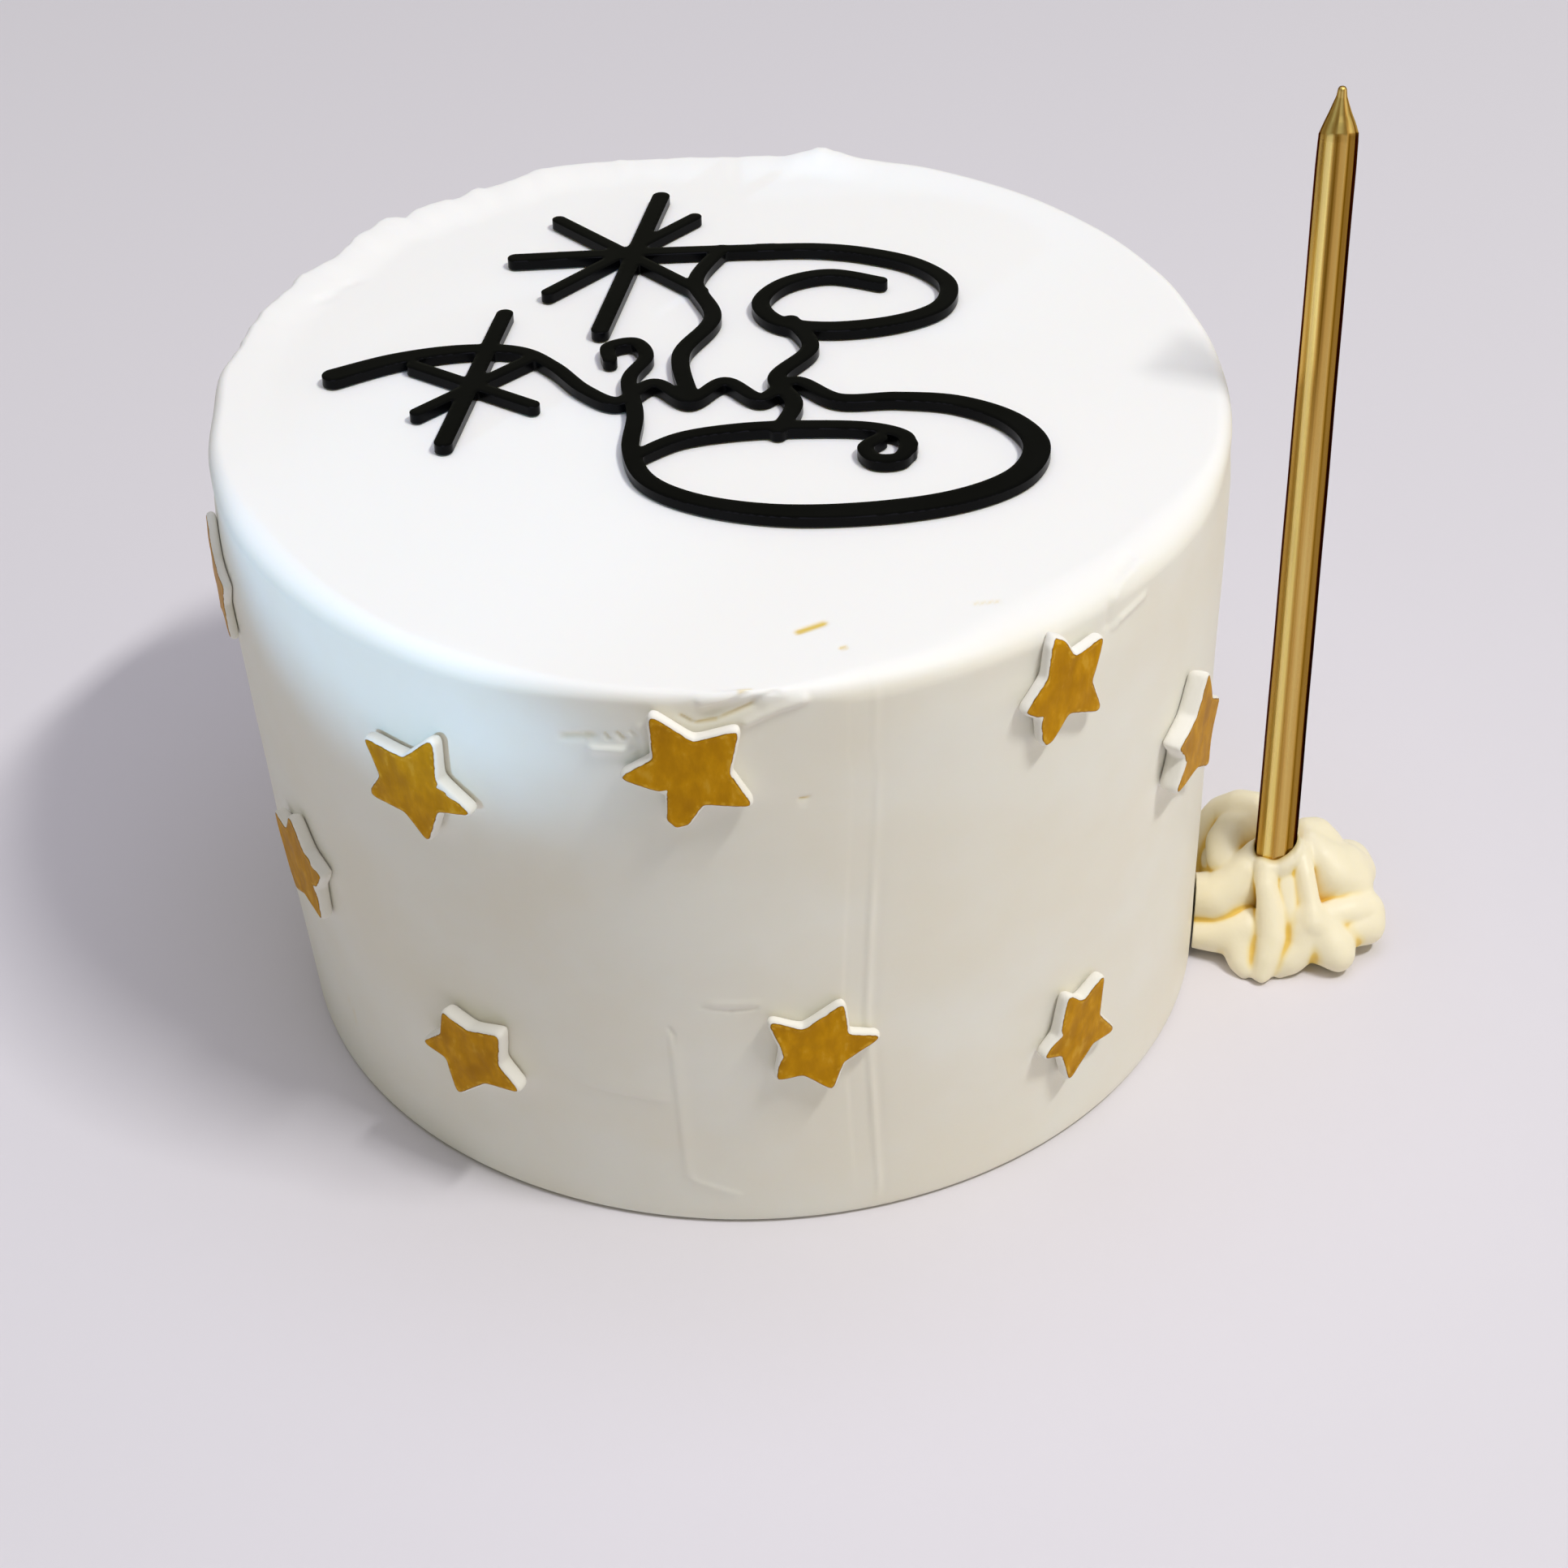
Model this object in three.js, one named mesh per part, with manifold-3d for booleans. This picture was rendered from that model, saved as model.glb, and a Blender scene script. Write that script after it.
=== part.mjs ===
// Round iced celebration cake with fondant stars, a flat openwork topper and one tall candle
// standing in a ruffle of cream at the cake's foot.
// Millimetres, +Z up, origin at the middle of the cake's underside, front towards -Y.
// An azimuth is in degrees: 0 faces the front (-Y) and 90 faces the right (+X).
import * as THREE from 'three';
import { mergeVertices } from 'three/addons/utils/BufferGeometryUtils.js';
import Module from 'manifold-3d';

const wasm = await Module();
wasm.setup();

// Cake body
const CAKE_HEIGHT = 104.15;
const CAKE_BASE_RADIUS = 73.95;
const CAKE_TOP_RADIUS = 78.5;
const CAKE_LEAN_X = -2.6; // the top sits this far to the left of the base
const CAKE_COLUMNS = 90;
const FOOT_ROUND = 1.2;
const SIDE_HEIGHTS = [1.2, 12, 24, 36, 48, 60, 72, 82, 90, 97];
const SIDE_BULGE = 0.9; // thicker icing low on the left
const EDGE_STEPS = 4;
const RIM_FADE_LOW = 91; // below this height the uneven rim has no effect
const RIM_FADE_HIGH = 102;
const LIP_WIDTH = 8.5; // how far the raised lip slopes inwards over the top

// Azimuth, and how far the rim stands out from the round there.
const RIM_OUTLINE = [
  [-172, -1.5], [-165, -0.4], [-161, 0.2], [-157, 0.2], [-153, -1.3], [-149, -0.8],
  [-145, -1.7], [-141.5, -0.7], [-138, -1.2], [-135.5, 0.6], [-131, -0.4], [-125, -1.7],
  [-120, -0.3], [-117, -0.9], [-111, -0.2], [-103, -0.8], [-98, -0.2], [-90, -0.9],
  [-80, -0.5], [-66, 0], [-30, 0.1], [10, 0], [40, -0.6], [62, 0], [77, -0.5], [92, -0.6],
  [104, -0.4], [115, 0.3], [128, 0.8], [141, 1.3], [152, 1.2], [162, 0.1], [166.5, 1.1],
  [171, -1.4], [178, -2.0],
];

const EDGE_DROP = 3.6; // the rounded edge is at most this tall, however wide it is

// Azimuth, and the width of the rounded edge between side and top.
const EDGE_WIDTH = [
  [-175, 1.7], [-140, 1.3], [-105, 1.6], [-85, 2.3], [-60, 4.4], [-32, 3.2], [-8, 1.8],
  [4, 1.6], [19, 4.4], [37, 7.4], [56, 6.4], [76, 2.6], [110, 2.0], [150, 1.8],
];

// Azimuth, and the height of the lip that the icing knife left on the rim.
const LIP_HEIGHT = [
  [-180, 0.35], [-168, 0.7], [-155, 0.9], [-136, 1.15], [-118, 0.8], [-100, 0.35],
  [-80, 0.05], [0, 0], [60, 0], [140, 0.1], [158, 0.25], [166.5, 1.1], [173, 0.3],
];

// Stars: azimuth, height, thickness, the five arms' directions clockwise from straight up in
// degrees, the arms' lengths, and the directions and radii of the notches between the arms.
const STAR_BEVEL = 0.5;
const STAR_TIP_ROUND = 0.85; // half width of the blunt end of an arm
const STAR_GAP = 0.3; // hairline of clearance between a star's back and the icing
const STAR_MAX_FALL = 0.4; // most that an arm leans back where the cake's edge rounds off
const STARS = [
  [-35.1, 80.2, 2.4, [26, 98, 172, 239, 304], [11.1, 9.7, 9.5, 10.0, 9.5],
    [60, 127, 203, 265, 351], [5.9, 5.5, 6.4, 6.4, 5.5]],
  [-4.2, 91.9, 2.1, [-25, 43, 125, 194, 263], [11.0, 10.1, 10.0, 10.1, 9.6],
    [9, 88, 163, 223, 297], [6.3, 5.9, 6.0, 5.4, 5.9]],
  [36.2, 93.1, 2.0, [-9, 53, 135, 203, 263], [9.2, 9.0, 9.4, 9.1, 7.3],
    [20, 99, 172, 238, 313], [5.6, 5.4, 4.9, 5.9, 5.1]],
  [61.0, 65.2, 3.1, [6, 81, 154, 232, 287], [10.5, 7.9, 9.7, 9.9, 8.3],
    [46, 110, 187, 262, 330], [6.0, 6.1, 6.4, 6.1, 5.9]],
  [-60.5, 45.5, 2.1, [0, 72, 152, 208, 308], [9.2, 7.9, 9.3, 8.7, 9.0],
    [36, 108, 182, 252, 334], [5.8, 5.6, 6.5, 6.4, 6.3]],
  [-33.5, 28.6, 2.8, [-27, 44, 115, 199, 260], [7.9, 9.1, 9.4, 9.9, 8.7],
    [8, 86, 152, 237, 293], [5.8, 6.0, 5.7, 5.8, 5.6]],
  [7.3, 38.1, 1.9, [25, 86, 168, 229, 311], [9.1, 9.2, 8.5, 8.3, 9.1],
    [63, 131, 206, 276, 336], [5.5, 5.3, 5.8, 5.8, 5.2]],
  [40.4, 24.4, 2.2, [-19, 30, 124, 191, 257], [8.7, 9.2, 9.4, 9.6, 7.5],
    [1, 85, 149, 229, 285], [6.3, 4.6, 6.2, 5.5, 5.0]],
  [-76.5, 85.2, 1.3, [-8, 66, 140, 210, 282], [10.9, 8.6, 9.2, 9.8, 8.6],
    [28, 104, 176, 246, 318], [5.6, 5.5, 5.7, 5.6, 5.5]],
  [127.0, 86.5, 3.1, [10, 82, 152, 226, 300], [9.7, 9.0, 9.5, 9.1, 8.9],
    [44, 118, 190, 262, 336], [5.6, 5.3, 5.7, 5.5, 5.4]],
  [165.0, 80.5, 3.0, [-12, 60, 134, 204, 274], [9.5, 9.3, 9.0, 9.8, 8.7],
    [22, 98, 168, 240, 312], [5.7, 5.5, 5.9, 5.6, 5.4]],
  [-157.0, 85.0, 3.2, [20, 90, 162, 236, 308], [9.9, 8.8, 9.4, 9.2, 8.8],
    [56, 124, 200, 270, 346], [5.4, 5.7, 5.3, 5.6, 5.5]],
  [-120.0, 82.5, 2.9, [-5, 68, 142, 214, 284], [9.4, 9.2, 9.6, 9.0, 9.0],
    [30, 106, 178, 250, 320], [5.6, 5.8, 5.4, 5.5, 5.7]],
  [146.0, 56.0, 3.0, [28, 96, 170, 242, 316], [9.6, 9.1, 9.3, 9.4, 8.7],
    [60, 134, 206, 278, 352], [5.3, 5.6, 5.5, 5.2, 5.6]],
  [-139.5, 53.0, 3.3, [-18, 52, 128, 196, 268], [9.7, 8.9, 9.5, 9.2, 9.0],
    [18, 88, 162, 234, 304], [5.5, 5.4, 5.8, 5.6, 5.3]],
  [120.5, 29.0, 2.8, [6, 80, 150, 220, 296], [9.3, 9.0, 9.7, 9.0, 8.8],
    [42, 116, 184, 258, 332], [5.4, 5.7, 5.5, 5.6, 5.2]],
  [176.5, 34.5, 3.1, [-26, 44, 118, 192, 262], [9.5, 9.2, 9.1, 9.7, 8.6],
    [8, 82, 156, 226, 300], [5.6, 5.3, 5.6, 5.7, 5.5]],
  [-117.0, 27.5, 2.9, [14, 84, 158, 230, 304], [9.6, 8.8, 9.4, 9.3, 9.0],
    [50, 120, 196, 266, 340], [5.4, 5.6, 5.2, 5.5, 5.7]],
];

// Topper: a flat plate of joined strokes lying on the top. Plan points are from its own middle.
const TOPPER_THICKNESS = 1.6;
const TOPPER_GAP = 0.3;
const TOPPER_MIDDLE_Y = -2.4;
const STROKE_STEP = 2.0; // spacing of the points along a stroke
const STROKES = [
  // sparkle at the upper left
  { path: [[-8.9, 61.9], [-18.4, 19.3]], width: [2.9, 2.9] },
  { path: [[-32.3, 42.6], [-12, 43.4], [9, 43.6]], width: [2.7, 2.4] },
  { path: [[-25.6, 55.0], [-2.6, 30.4]], width: [2.3, 2.3] },
  { path: [[-26.8, 31.4], [-3.4, 54.6]], width: [2.3, 2.3] },
  // upper flourish, curling inwards
  {
    path: [[7, 43.6], [16, 43.3], [24, 41.4], [32, 37.2], [36.6, 30.6], [35, 23.6], [28, 19.4],
      [18, 17.9], [9.8, 20], [6.8, 26], [10.6, 32.2], [18, 34.8], [26, 31.9]],
    width: [2.4, 2.6, 2.8, 3.0, 3.2, 3.0, 2.6, 2.3],
  },
  // bending tendrils that tie the upper and lower halves
  {
    path: [[0.9, 43.6], [-3.4, 33.5], [-0.8, 22], [-5.8, 11], [-4.6, -0.8]],
    width: [2.5, 2.7, 2.9, 2.7],
  },
  {
    path: [[11.4, 20.4], [14.2, 12], [8.8, 3.4], [11.2, -4.4], [8.6, -11.6]],
    width: [2.8, 2.7, 2.9, 2.6],
  },
  // sparkle at the lower left
  { path: [[-33.5, 25.0], [-41.4, -12.3]], width: [2.7, 2.9] },
  { path: [[-45.8, -3.6], [-29.0, 11.2]], width: [2.3, 2.3] },
  { path: [[-47.0, 10.2], [-28.4, -2.4]], width: [2.3, 2.3] },
  // left sweep, running on as a wave into the big lower flourish, which ends in a small hook
  {
    path: [[-59.2, 7.9], [-50, 12.2], [-40, 14.4], [-31, 13.6], [-25.4, 8.6], [-20.6, 1.6],
      [-15.4, -2.2], [-10, 2.8], [-4.6, -2.2], [0.8, 2.6], [6.2, -2.4], [11.6, 2.2], [18, -3.2],
      [27, -3.4], [36, -5.2], [43.6, -10.6], [46.8, -18.2], [43.6, -26], [35, -31.4],
      [23, -34.0], [9, -34.0], [-3, -30.6], [-10.8, -24.6], [-13.4, -16], [-12.8, -6],
      [-13.8, 4], [-11.2, 10.6], [-13.0, 15.2], [-17, 14.0], [-16.8, 10.2]],
    width: [3.7, 3.1, 2.4, 2.4, 2.4, 2.4, 2.4, 2.6, 3.3, 4.1, 4.2, 4.1, 3.8, 3.2, 2.8, 2.6,
      2.4, 2.3],
  },
  // inner curl
  {
    path: [[-12.4, -17.4], [-6, -12.9], [3, -10.9], [13, -10.7], [22, -11.6], [27.2, -14.2],
      [27.8, -18.2]],
    width: [2.4, 2.6, 2.7, 2.6, 2.5],
  },
  {
    path: [[28.0, -16.8], [26.4, -20.3], [22.8, -20.4], [21.4, -17.4], [23.6, -14.9]],
    width: [2.5, 2.5, 2.4],
  },
];

// Candle: a slim fluted taper with a pinched, coated wick end.
const CANDLE_X = 87.0;
const CANDLE_Y = -7.5;
const CANDLE_LEAN_X = 0.8; // lean to the right over the height that shows
const CANDLE_FOOT_Z = 8;
const CANDLE_ENTRY_Z = 18.5;
const CANDLE_TIP_Z = 156.3;
const CANDLE_FLUTES = 12;
const CANDLE_FLUTE_DEPTH = 0.22;
const CANDLE_RIDGE = 15.5; // azimuth of one of the ridges between the flutes
const CANDLE_SLANT = 0.42; // the shoulder under the pinched end is higher in front
const CANDLE_PROFILE = [
  // height, radius, share of the flute depth
  [8, 3.2, 1], [8.6, 3.4, 1], [18, 3.42, 1], [60, 3.25, 1], [105, 3.1, 1], [143.5, 3.0, 1],
  [147.5, 2.93, 1], [149, 2.82, 0.9], [150.9, 2.17, 0.8], [152.2, 1.65, 0.65],
  [153.5, 1.2, 0.4], [154.8, 0.76, 0.2], [156, 0.55, 0],
];

// Cream ruffle around the candle's foot: ropes of piped cream lying against each other.
const CREAM_COLUMNS = 76;
const CREAM_RISES = [0, 6, 13, 21, 29, 37, 45, 53, 61, 69, 75]; // degrees up from the floor
const CREAM_CREASE = 2.2; // sharpness of the creases between ropes
const CREAM_GAP = 0.35; // clearance to the cake's side
const CREAM_CORE = 6; // least distance of the skin from the candle's foot
const ROPE_STEP = 0.7; // spacing of the balls strung along a rope
const SOCKET_RADIUS = 3.75;
const SOCKET_FLOOR_Z = 7.7; // hairline of clearance under the candle's foot
const COLLAR = { radius: 1.8, thickness: 2.7, z: 16.2, rise: 1.9, highest: 122 };
// Each rope is a chain of [x, y, z, rope radius].
const CREAM_ROPES = [
  // heart of the ruffle
  [[86, -3, 5, 8], [90, -4, 5, 8.5], [94, -4, 4.5, 8]],
  [[81, -4.5, 8.5, 5.2], [80.5, -1, 9.5, 5], [83, 0.5, 10, 5]],
  // rope round the back left, against the cake
  [[85.1, 1.1, 19, 2.8], [82.4, 3, 18, 3], [79.7, 4.6, 15.5, 3], [77.1, 4.1, 12.5, 2.8],
    [75.6, 2.6, 9.5, 2.8], [74.5, 0.4, 7, 2.8]],
  // curl at the candle's left
  [[85.6, 0.1, 17.8, 2.6], [83.5, 0.3, 17.4, 2.7], [81, 0, 16, 3], [79.3, -2.2, 14.6, 3.2],
    [79.1, -4.5, 13.2, 3], [80.1, -5.9, 12.2, 2.5]],
  // broad lobe from the candle down to the left, and the petal and foot under it
  [[84.1, -6.5, 15, 2.6], [82.4, -8, 13, 3.3], [80.5, -8.8, 10.6, 3.9],
    [77.8, -9.3, 8.6, 4.2], [73.9, -7.1, 7, 4.2]],
  [[82.4, -13.7, 5.6, 3.4], [80.2, -13.7, 4.6, 3.5], [77.5, -13.4, 3.8, 3],
    [73.5, -12.1, 3.2, 2.4]],
  [[82.3, -14.4, 4.4, 3.2], [81.1, -15.7, 3, 3.2], [81, -17.7, 1.8, 2.4], [81.6, -19.3, 1, 1.6]],
  // ridges down the front
  [[85.2, -10, 15.6, 2], [84.9, -12.9, 13.3, 1.9], [85.5, -15, 9.8, 2.3], [85.7, -17.5, 6.4, 2.4],
    [84.7, -19.7, 3.8, 2], [83.9, -21, 1.4, 1.6]],
  [[91, -7.6, 16.4, 2], [91.6, -11.3, 14.4, 1.7], [92.2, -14.5, 11.3, 1.7],
    [92.4, -16.6, 8.6, 2.1]],
  [[87.8, -8.9, 13.9, 3.2], [88.7, -10.9, 9.9, 4.4], [89.3, -13.5, 7.2, 4.3]],
  [[91.4, -16, 6.4, 3.2], [90.8, -17.2, 4.2, 3.2], [88.8, -18.6, 2.6, 2.7],
    [86.9, -19.2, 1.4, 1.9]],
  // big and small lobes at the lower right
  [[92.2, -15.1, 8.5, 3], [94.5, -16, 5.6, 3.8], [95.9, -17.5, 4, 3.8], [96.3, -18.4, 3.4, 3.4]],
  [[95.6, -14.2, 8.2, 2.4], [99.1, -12.6, 7.4, 3.2], [102, -11.2, 6.4, 3.5],
    [102, -12.9, 4.6, 3.5], [99, -14, 5, 3.4]],
  // shoulder at the right
  [[93.1, -4.9, 16.5, 2.2], [94.9, -7, 14.2, 3.4], [96.8, -8.2, 11.6, 4.3], [99.6, -7.3, 9.3, 4.3]],
  [[92.8, -2.6, 17, 2.2], [94.6, -2.4, 16.2, 2.7], [95.8, -3, 14.2, 3.2]],
  [[96.5, -4.4, 11.9, 3.5], [100.5, -2, 9.6, 3.7], [101.4, -3.9, 8.7, 3.6],
    [98.7, -5.3, 10.9, 4.3], [96, -6, 13, 3.6]],
  // lobes round the back
  [[87.5, -2, 16, 2.3], [88.6, 0.4, 12.5, 3.3], [89.4, 2, 8, 4], [89.6, 2.6, 4, 3.8]],
  [[91.5, -3.6, 15, 2.3], [95, -1.6, 11, 3.4], [97.3, -0.6, 7, 3.9], [97.8, -0.4, 4, 3.7]],
  [[82, 3.4, 14, 2.8], [82.6, 5, 9, 3.6], [82.6, 5.8, 4.4, 3.6]],
];

const rad = THREE.MathUtils.degToRad;
const lerp = THREE.MathUtils.lerp;
const smoothstep = THREE.MathUtils.smoothstep;

/** Value of a table of [azimuth, value] at an azimuth, easing from entry to entry and round. */
function around(table, azimuth) {
  const sorted = [...table].sort((a, b) => a[0] - b[0]);
  const last = sorted[sorted.length - 1];
  const first = sorted[0];
  const ring = [[last[0] - 360, last[1]], ...sorted, [first[0] + 360, first[1]]];
  const angle = THREE.MathUtils.euclideanModulo(azimuth + 180, 360) - 180;
  for (let i = 0; i < ring.length - 1; i += 1) {
    const [a, valueA] = ring[i];
    const [b, valueB] = ring[i + 1];
    if (angle >= a && angle <= b) {
      return lerp(valueA, valueB, smoothstep(angle, a, b));
    }
  }
  return first[1];
}

/** Radius of the iced side at an azimuth and a height. */
function sideRadius(azimuth, z) {
  const straight = lerp(CAKE_BASE_RADIUS, CAKE_TOP_RADIUS, z / CAKE_HEIGHT);
  const rim = around(RIM_OUTLINE, azimuth) * smoothstep(z, RIM_FADE_LOW, RIM_FADE_HIGH);
  const slow = 0.2 * Math.sin(rad(2 * azimuth + 10)) * Math.sin((Math.PI * z) / CAKE_HEIGHT);
  const turn = THREE.MathUtils.euclideanModulo(azimuth + 78 + 180, 360) - 180;
  const height = smoothstep(z, 0, 40) * (1 - smoothstep(z, 78, CAKE_HEIGHT));
  const bulge = SIDE_BULGE * Math.exp(-((turn / 30) ** 2)) * height;
  return straight + rim + slow + bulge;
}

/** Middle line of the leaning cake at a height. */
function cakeMiddleX(z) {
  return (CAKE_LEAN_X * z) / CAKE_HEIGHT;
}

/** Height of the rounded edge at an azimuth. */
function edgeDrop(azimuth) {
  return Math.min(around(EDGE_WIDTH, azimuth), EDGE_DROP);
}

/** How far the rounded edge falls back from the straight side at a height. */
function edgeFallback(azimuth, z) {
  const rise = (z - CAKE_HEIGHT) / edgeDrop(azimuth) + 1;
  const share = THREE.MathUtils.clamp(rise, 0, 0.95);
  return around(EDGE_WIDTH, azimuth) * (1 - Math.sqrt(1 - share ** 2));
}

/** Point off the iced side, by azimuth, height and distance out of the surface. */
function sidePoint(azimuth, z, out) {
  const r = sideRadius(azimuth, z) + out;
  return [
    cakeMiddleX(z) + r * Math.sin(rad(azimuth)),
    -r * Math.cos(rad(azimuth)),
    z,
  ];
}

/** Closed geometry from rings of equal count between a start point and an end point. */
function ringsGeometry(start, rings, end) {
  const positions = [start, ...rings.flat(), end].flat();
  const count = rings[0].length;
  const index = [];
  const endIndex = 1 + rings.length * count;
  for (let j = 0; j < count; j += 1) {
    const k = (j + 1) % count;
    index.push(0, 1 + k, 1 + j);
    for (let i = 0; i < rings.length - 1; i += 1) {
      const low = 1 + i * count;
      const high = low + count;
      index.push(low + j, low + k, high + k);
      index.push(low + j, high + k, high + j);
    }
    const top = endIndex - count;
    index.push(top + j, top + k, endIndex);
  }
  const geometry = new THREE.BufferGeometry();
  geometry.setAttribute('position', new THREE.Float32BufferAttribute(positions, 3));
  geometry.setIndex(index);
  return geometry;
}

/** Solid iced body: foot, side, rounded uneven edge, lip and flat top. */
function makeCake() {
  const rings = [];
  const columns = Array.from({ length: CAKE_COLUMNS }, (_, j) => -180 + (360 * j) / CAKE_COLUMNS);
  rings.push(columns.map((az) => sidePoint(az, 0, -FOOT_ROUND)));
  rings.push(columns.map((az) => sidePoint(az, FOOT_ROUND * 0.3, -FOOT_ROUND * 0.3)));
  for (const z of SIDE_HEIGHTS) {
    rings.push(columns.map((az) => sidePoint(az, z, 0)));
  }
  for (let step = 0; step <= EDGE_STEPS; step += 1) {
    const bend = (Math.PI / 2) * (step / EDGE_STEPS);
    rings.push(columns.map((az) => {
      const drop = edgeDrop(az);
      const out = around(EDGE_WIDTH, az) * (Math.cos(bend) - 1);
      const [x, y] = sidePoint(az, CAKE_HEIGHT, out);
      return [x, y, CAKE_HEIGHT - drop + (drop + around(LIP_HEIGHT, az)) * Math.sin(bend)];
    }));
  }
  for (const share of [0.35, 0.7, 1]) {
    rings.push(columns.map((az) => {
      const edge = around(EDGE_WIDTH, az);
      const [x, y] = sidePoint(az, CAKE_HEIGHT, -edge - LIP_WIDTH * share);
      const lip = around(LIP_HEIGHT, az) * (1 - smoothstep(share, 0, 1));
      return [x, y, CAKE_HEIGHT + lip];
    }));
  }
  for (const share of [0.6, 0.28]) {
    rings.push(columns.map((az) => {
      const r = CAKE_TOP_RADIUS * share;
      return [CAKE_LEAN_X + r * Math.sin(rad(az)), -r * Math.cos(rad(az)), CAKE_HEIGHT];
    }));
  }
  return ringsGeometry([0, 0, 0], rings, [CAKE_LEAN_X, 0, CAKE_HEIGHT]);
}

/** Flat outline of a star as [across, up] points, with blunt arm ends. */
function starOutline(arms, reaches, turns, radii) {
  const points = [];
  arms.forEach((angle, i) => {
    const direction = [Math.sin(rad(angle)), Math.cos(rad(angle))];
    const across = [Math.cos(rad(angle)), -Math.sin(rad(angle))];
    const reach = reaches[i];
    const at = (along, side) => [
      along * direction[0] + side * across[0],
      along * direction[1] + side * across[1],
    ];
    points.push(at(reach - STAR_TIP_ROUND, -STAR_TIP_ROUND));
    points.push(at(reach, 0));
    points.push(at(reach - STAR_TIP_ROUND, STAR_TIP_ROUND));
    points.push([radii[i] * Math.sin(rad(turns[i])), radii[i] * Math.cos(rad(turns[i]))]);
  });
  return points;
}

/** Star plaque bent to the cake's side, slightly wider at its back than at its face. */
function makeStar([azimuth, height, thickness, arms, reaches, turns, radii]) {
  const outline = starOutline(arms, reaches, turns, radii).reverse();
  const bend = (scale, out) => outline.map(([u, v]) => {
    const turn = THREE.MathUtils.radToDeg((u * scale) / (sideRadius(azimuth, height) + out));
    const z = height + v * scale;
    const fall = Math.min(STAR_MAX_FALL, edgeFallback(azimuth + turn, z));
    return sidePoint(azimuth + turn, z, out - fall);
  });
  const rings = [
    bend(1.04, STAR_GAP),
    bend(1.0, STAR_GAP + thickness - STAR_BEVEL),
    bend(0.96, STAR_GAP + thickness),
  ];
  return ringsGeometry(
    sidePoint(azimuth, height, STAR_GAP),
    rings,
    sidePoint(azimuth, height, STAR_GAP + thickness),
  );
}

/** Width at a share of the way along a stroke, from widths spaced evenly along it. */
function widthAt(widths, share) {
  const place = share * (widths.length - 1);
  const i = Math.min(Math.floor(place), widths.length - 2);
  return lerp(widths[i], widths[i + 1], place - i);
}

/** Flat round-ended outline of one stroke of changing width. */
function strokeShape({ path, width }) {
  const curve = new THREE.SplineCurve(path.map(([x, y]) => new THREE.Vector2(x, y)));
  const steps = path.length === 2 ? 1 : Math.max(2, Math.round(curve.getLength() / STROKE_STEP));
  const left = [];
  const right = [];
  let points = [];
  for (let i = 0; i <= steps; i += 1) {
    const share = i / steps;
    const point = curve.getPointAt(share);
    const tangent = curve.getTangentAt(share);
    const half = widthAt(width, share) / 2;
    const cap = (angle) => {
      const turned = tangent.clone().rotateAround(new THREE.Vector2(), angle);
      return point.clone().addScaledVector(turned, half);
    };
    left.push(cap(Math.PI / 2));
    right.unshift(cap(-Math.PI / 2));
    if (i === 0) {
      points = [-0.75, 1, 0.75].map((turn) => cap(turn * Math.PI));
    }
    if (i === steps) {
      left.push(cap(Math.PI / 4), cap(0), cap(-Math.PI / 4));
    }
  }
  return new THREE.Shape([...left, ...right, ...points]);
}

/** Manifold solid from a closed three.js geometry. */
function toManifold(geometry) {
  const bare = geometry.clone();
  bare.deleteAttribute('normal');
  bare.deleteAttribute('uv');
  const merged = mergeVertices(bare, 1e-4);
  return new wasm.Manifold(new wasm.Mesh({
    numProp: 3,
    vertProperties: new Float32Array(merged.attributes.position.array),
    triVerts: new Uint32Array(merged.index.array),
  }));
}

/** three.js geometry from a manifold solid. */
function fromManifold(solid) {
  const mesh = solid.getMesh();
  const geometry = new THREE.BufferGeometry();
  geometry.setAttribute('position', new THREE.Float32BufferAttribute(mesh.vertProperties, 3));
  geometry.setIndex(Array.from(mesh.triVerts));
  return geometry;
}

/** Openwork topper: every stroke as a flat bar, joined into one plate on the cake's top. */
function makeTopper() {
  let plate = null;
  for (const stroke of STROKES) {
    const settings = { depth: TOPPER_THICKNESS, bevelEnabled: false };
    const bar = toManifold(new THREE.ExtrudeGeometry(strokeShape(stroke), settings));
    plate = plate ? plate.add(bar) : bar;
  }
  const geometry = fromManifold(plate);
  geometry.translate(CAKE_LEAN_X, TOPPER_MIDDLE_Y, CAKE_HEIGHT + TOPPER_GAP);
  return geometry;
}

/** Middle line of the leaning candle at a height. */
function candleX(z) {
  const share = (z - CANDLE_ENTRY_Z) / (CANDLE_TIP_Z - CANDLE_ENTRY_Z);
  return CANDLE_X + CANDLE_LEAN_X * share;
}

/** Fluted candle, flat at its foot and pinched to a thin end. */
function makeCandle() {
  const columns = CANDLE_FLUTES * 2;
  const rings = CANDLE_PROFILE.map(([z, radius, fluteShare]) => {
    const slanted = smoothstep(z, 141, 148) * (1 - smoothstep(z, 150, 154));
    return Array.from({ length: columns }, (_, j) => {
      const r = radius - (j % 2) * CANDLE_FLUTE_DEPTH * fluteShare;
      const turn = rad(CANDLE_RIDGE + (360 * j) / columns);
      return [
        candleX(z) + r * Math.sin(turn),
        CANDLE_Y - r * Math.cos(turn),
        z + CANDLE_SLANT * r * Math.cos(turn) * slanted,
      ];
    });
  });
  return ringsGeometry(
    [candleX(CANDLE_FOOT_Z), CANDLE_Y, CANDLE_FOOT_Z],
    rings,
    [candleX(CANDLE_TIP_Z), CANDLE_Y, CANDLE_TIP_Z],
  );
}

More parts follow.
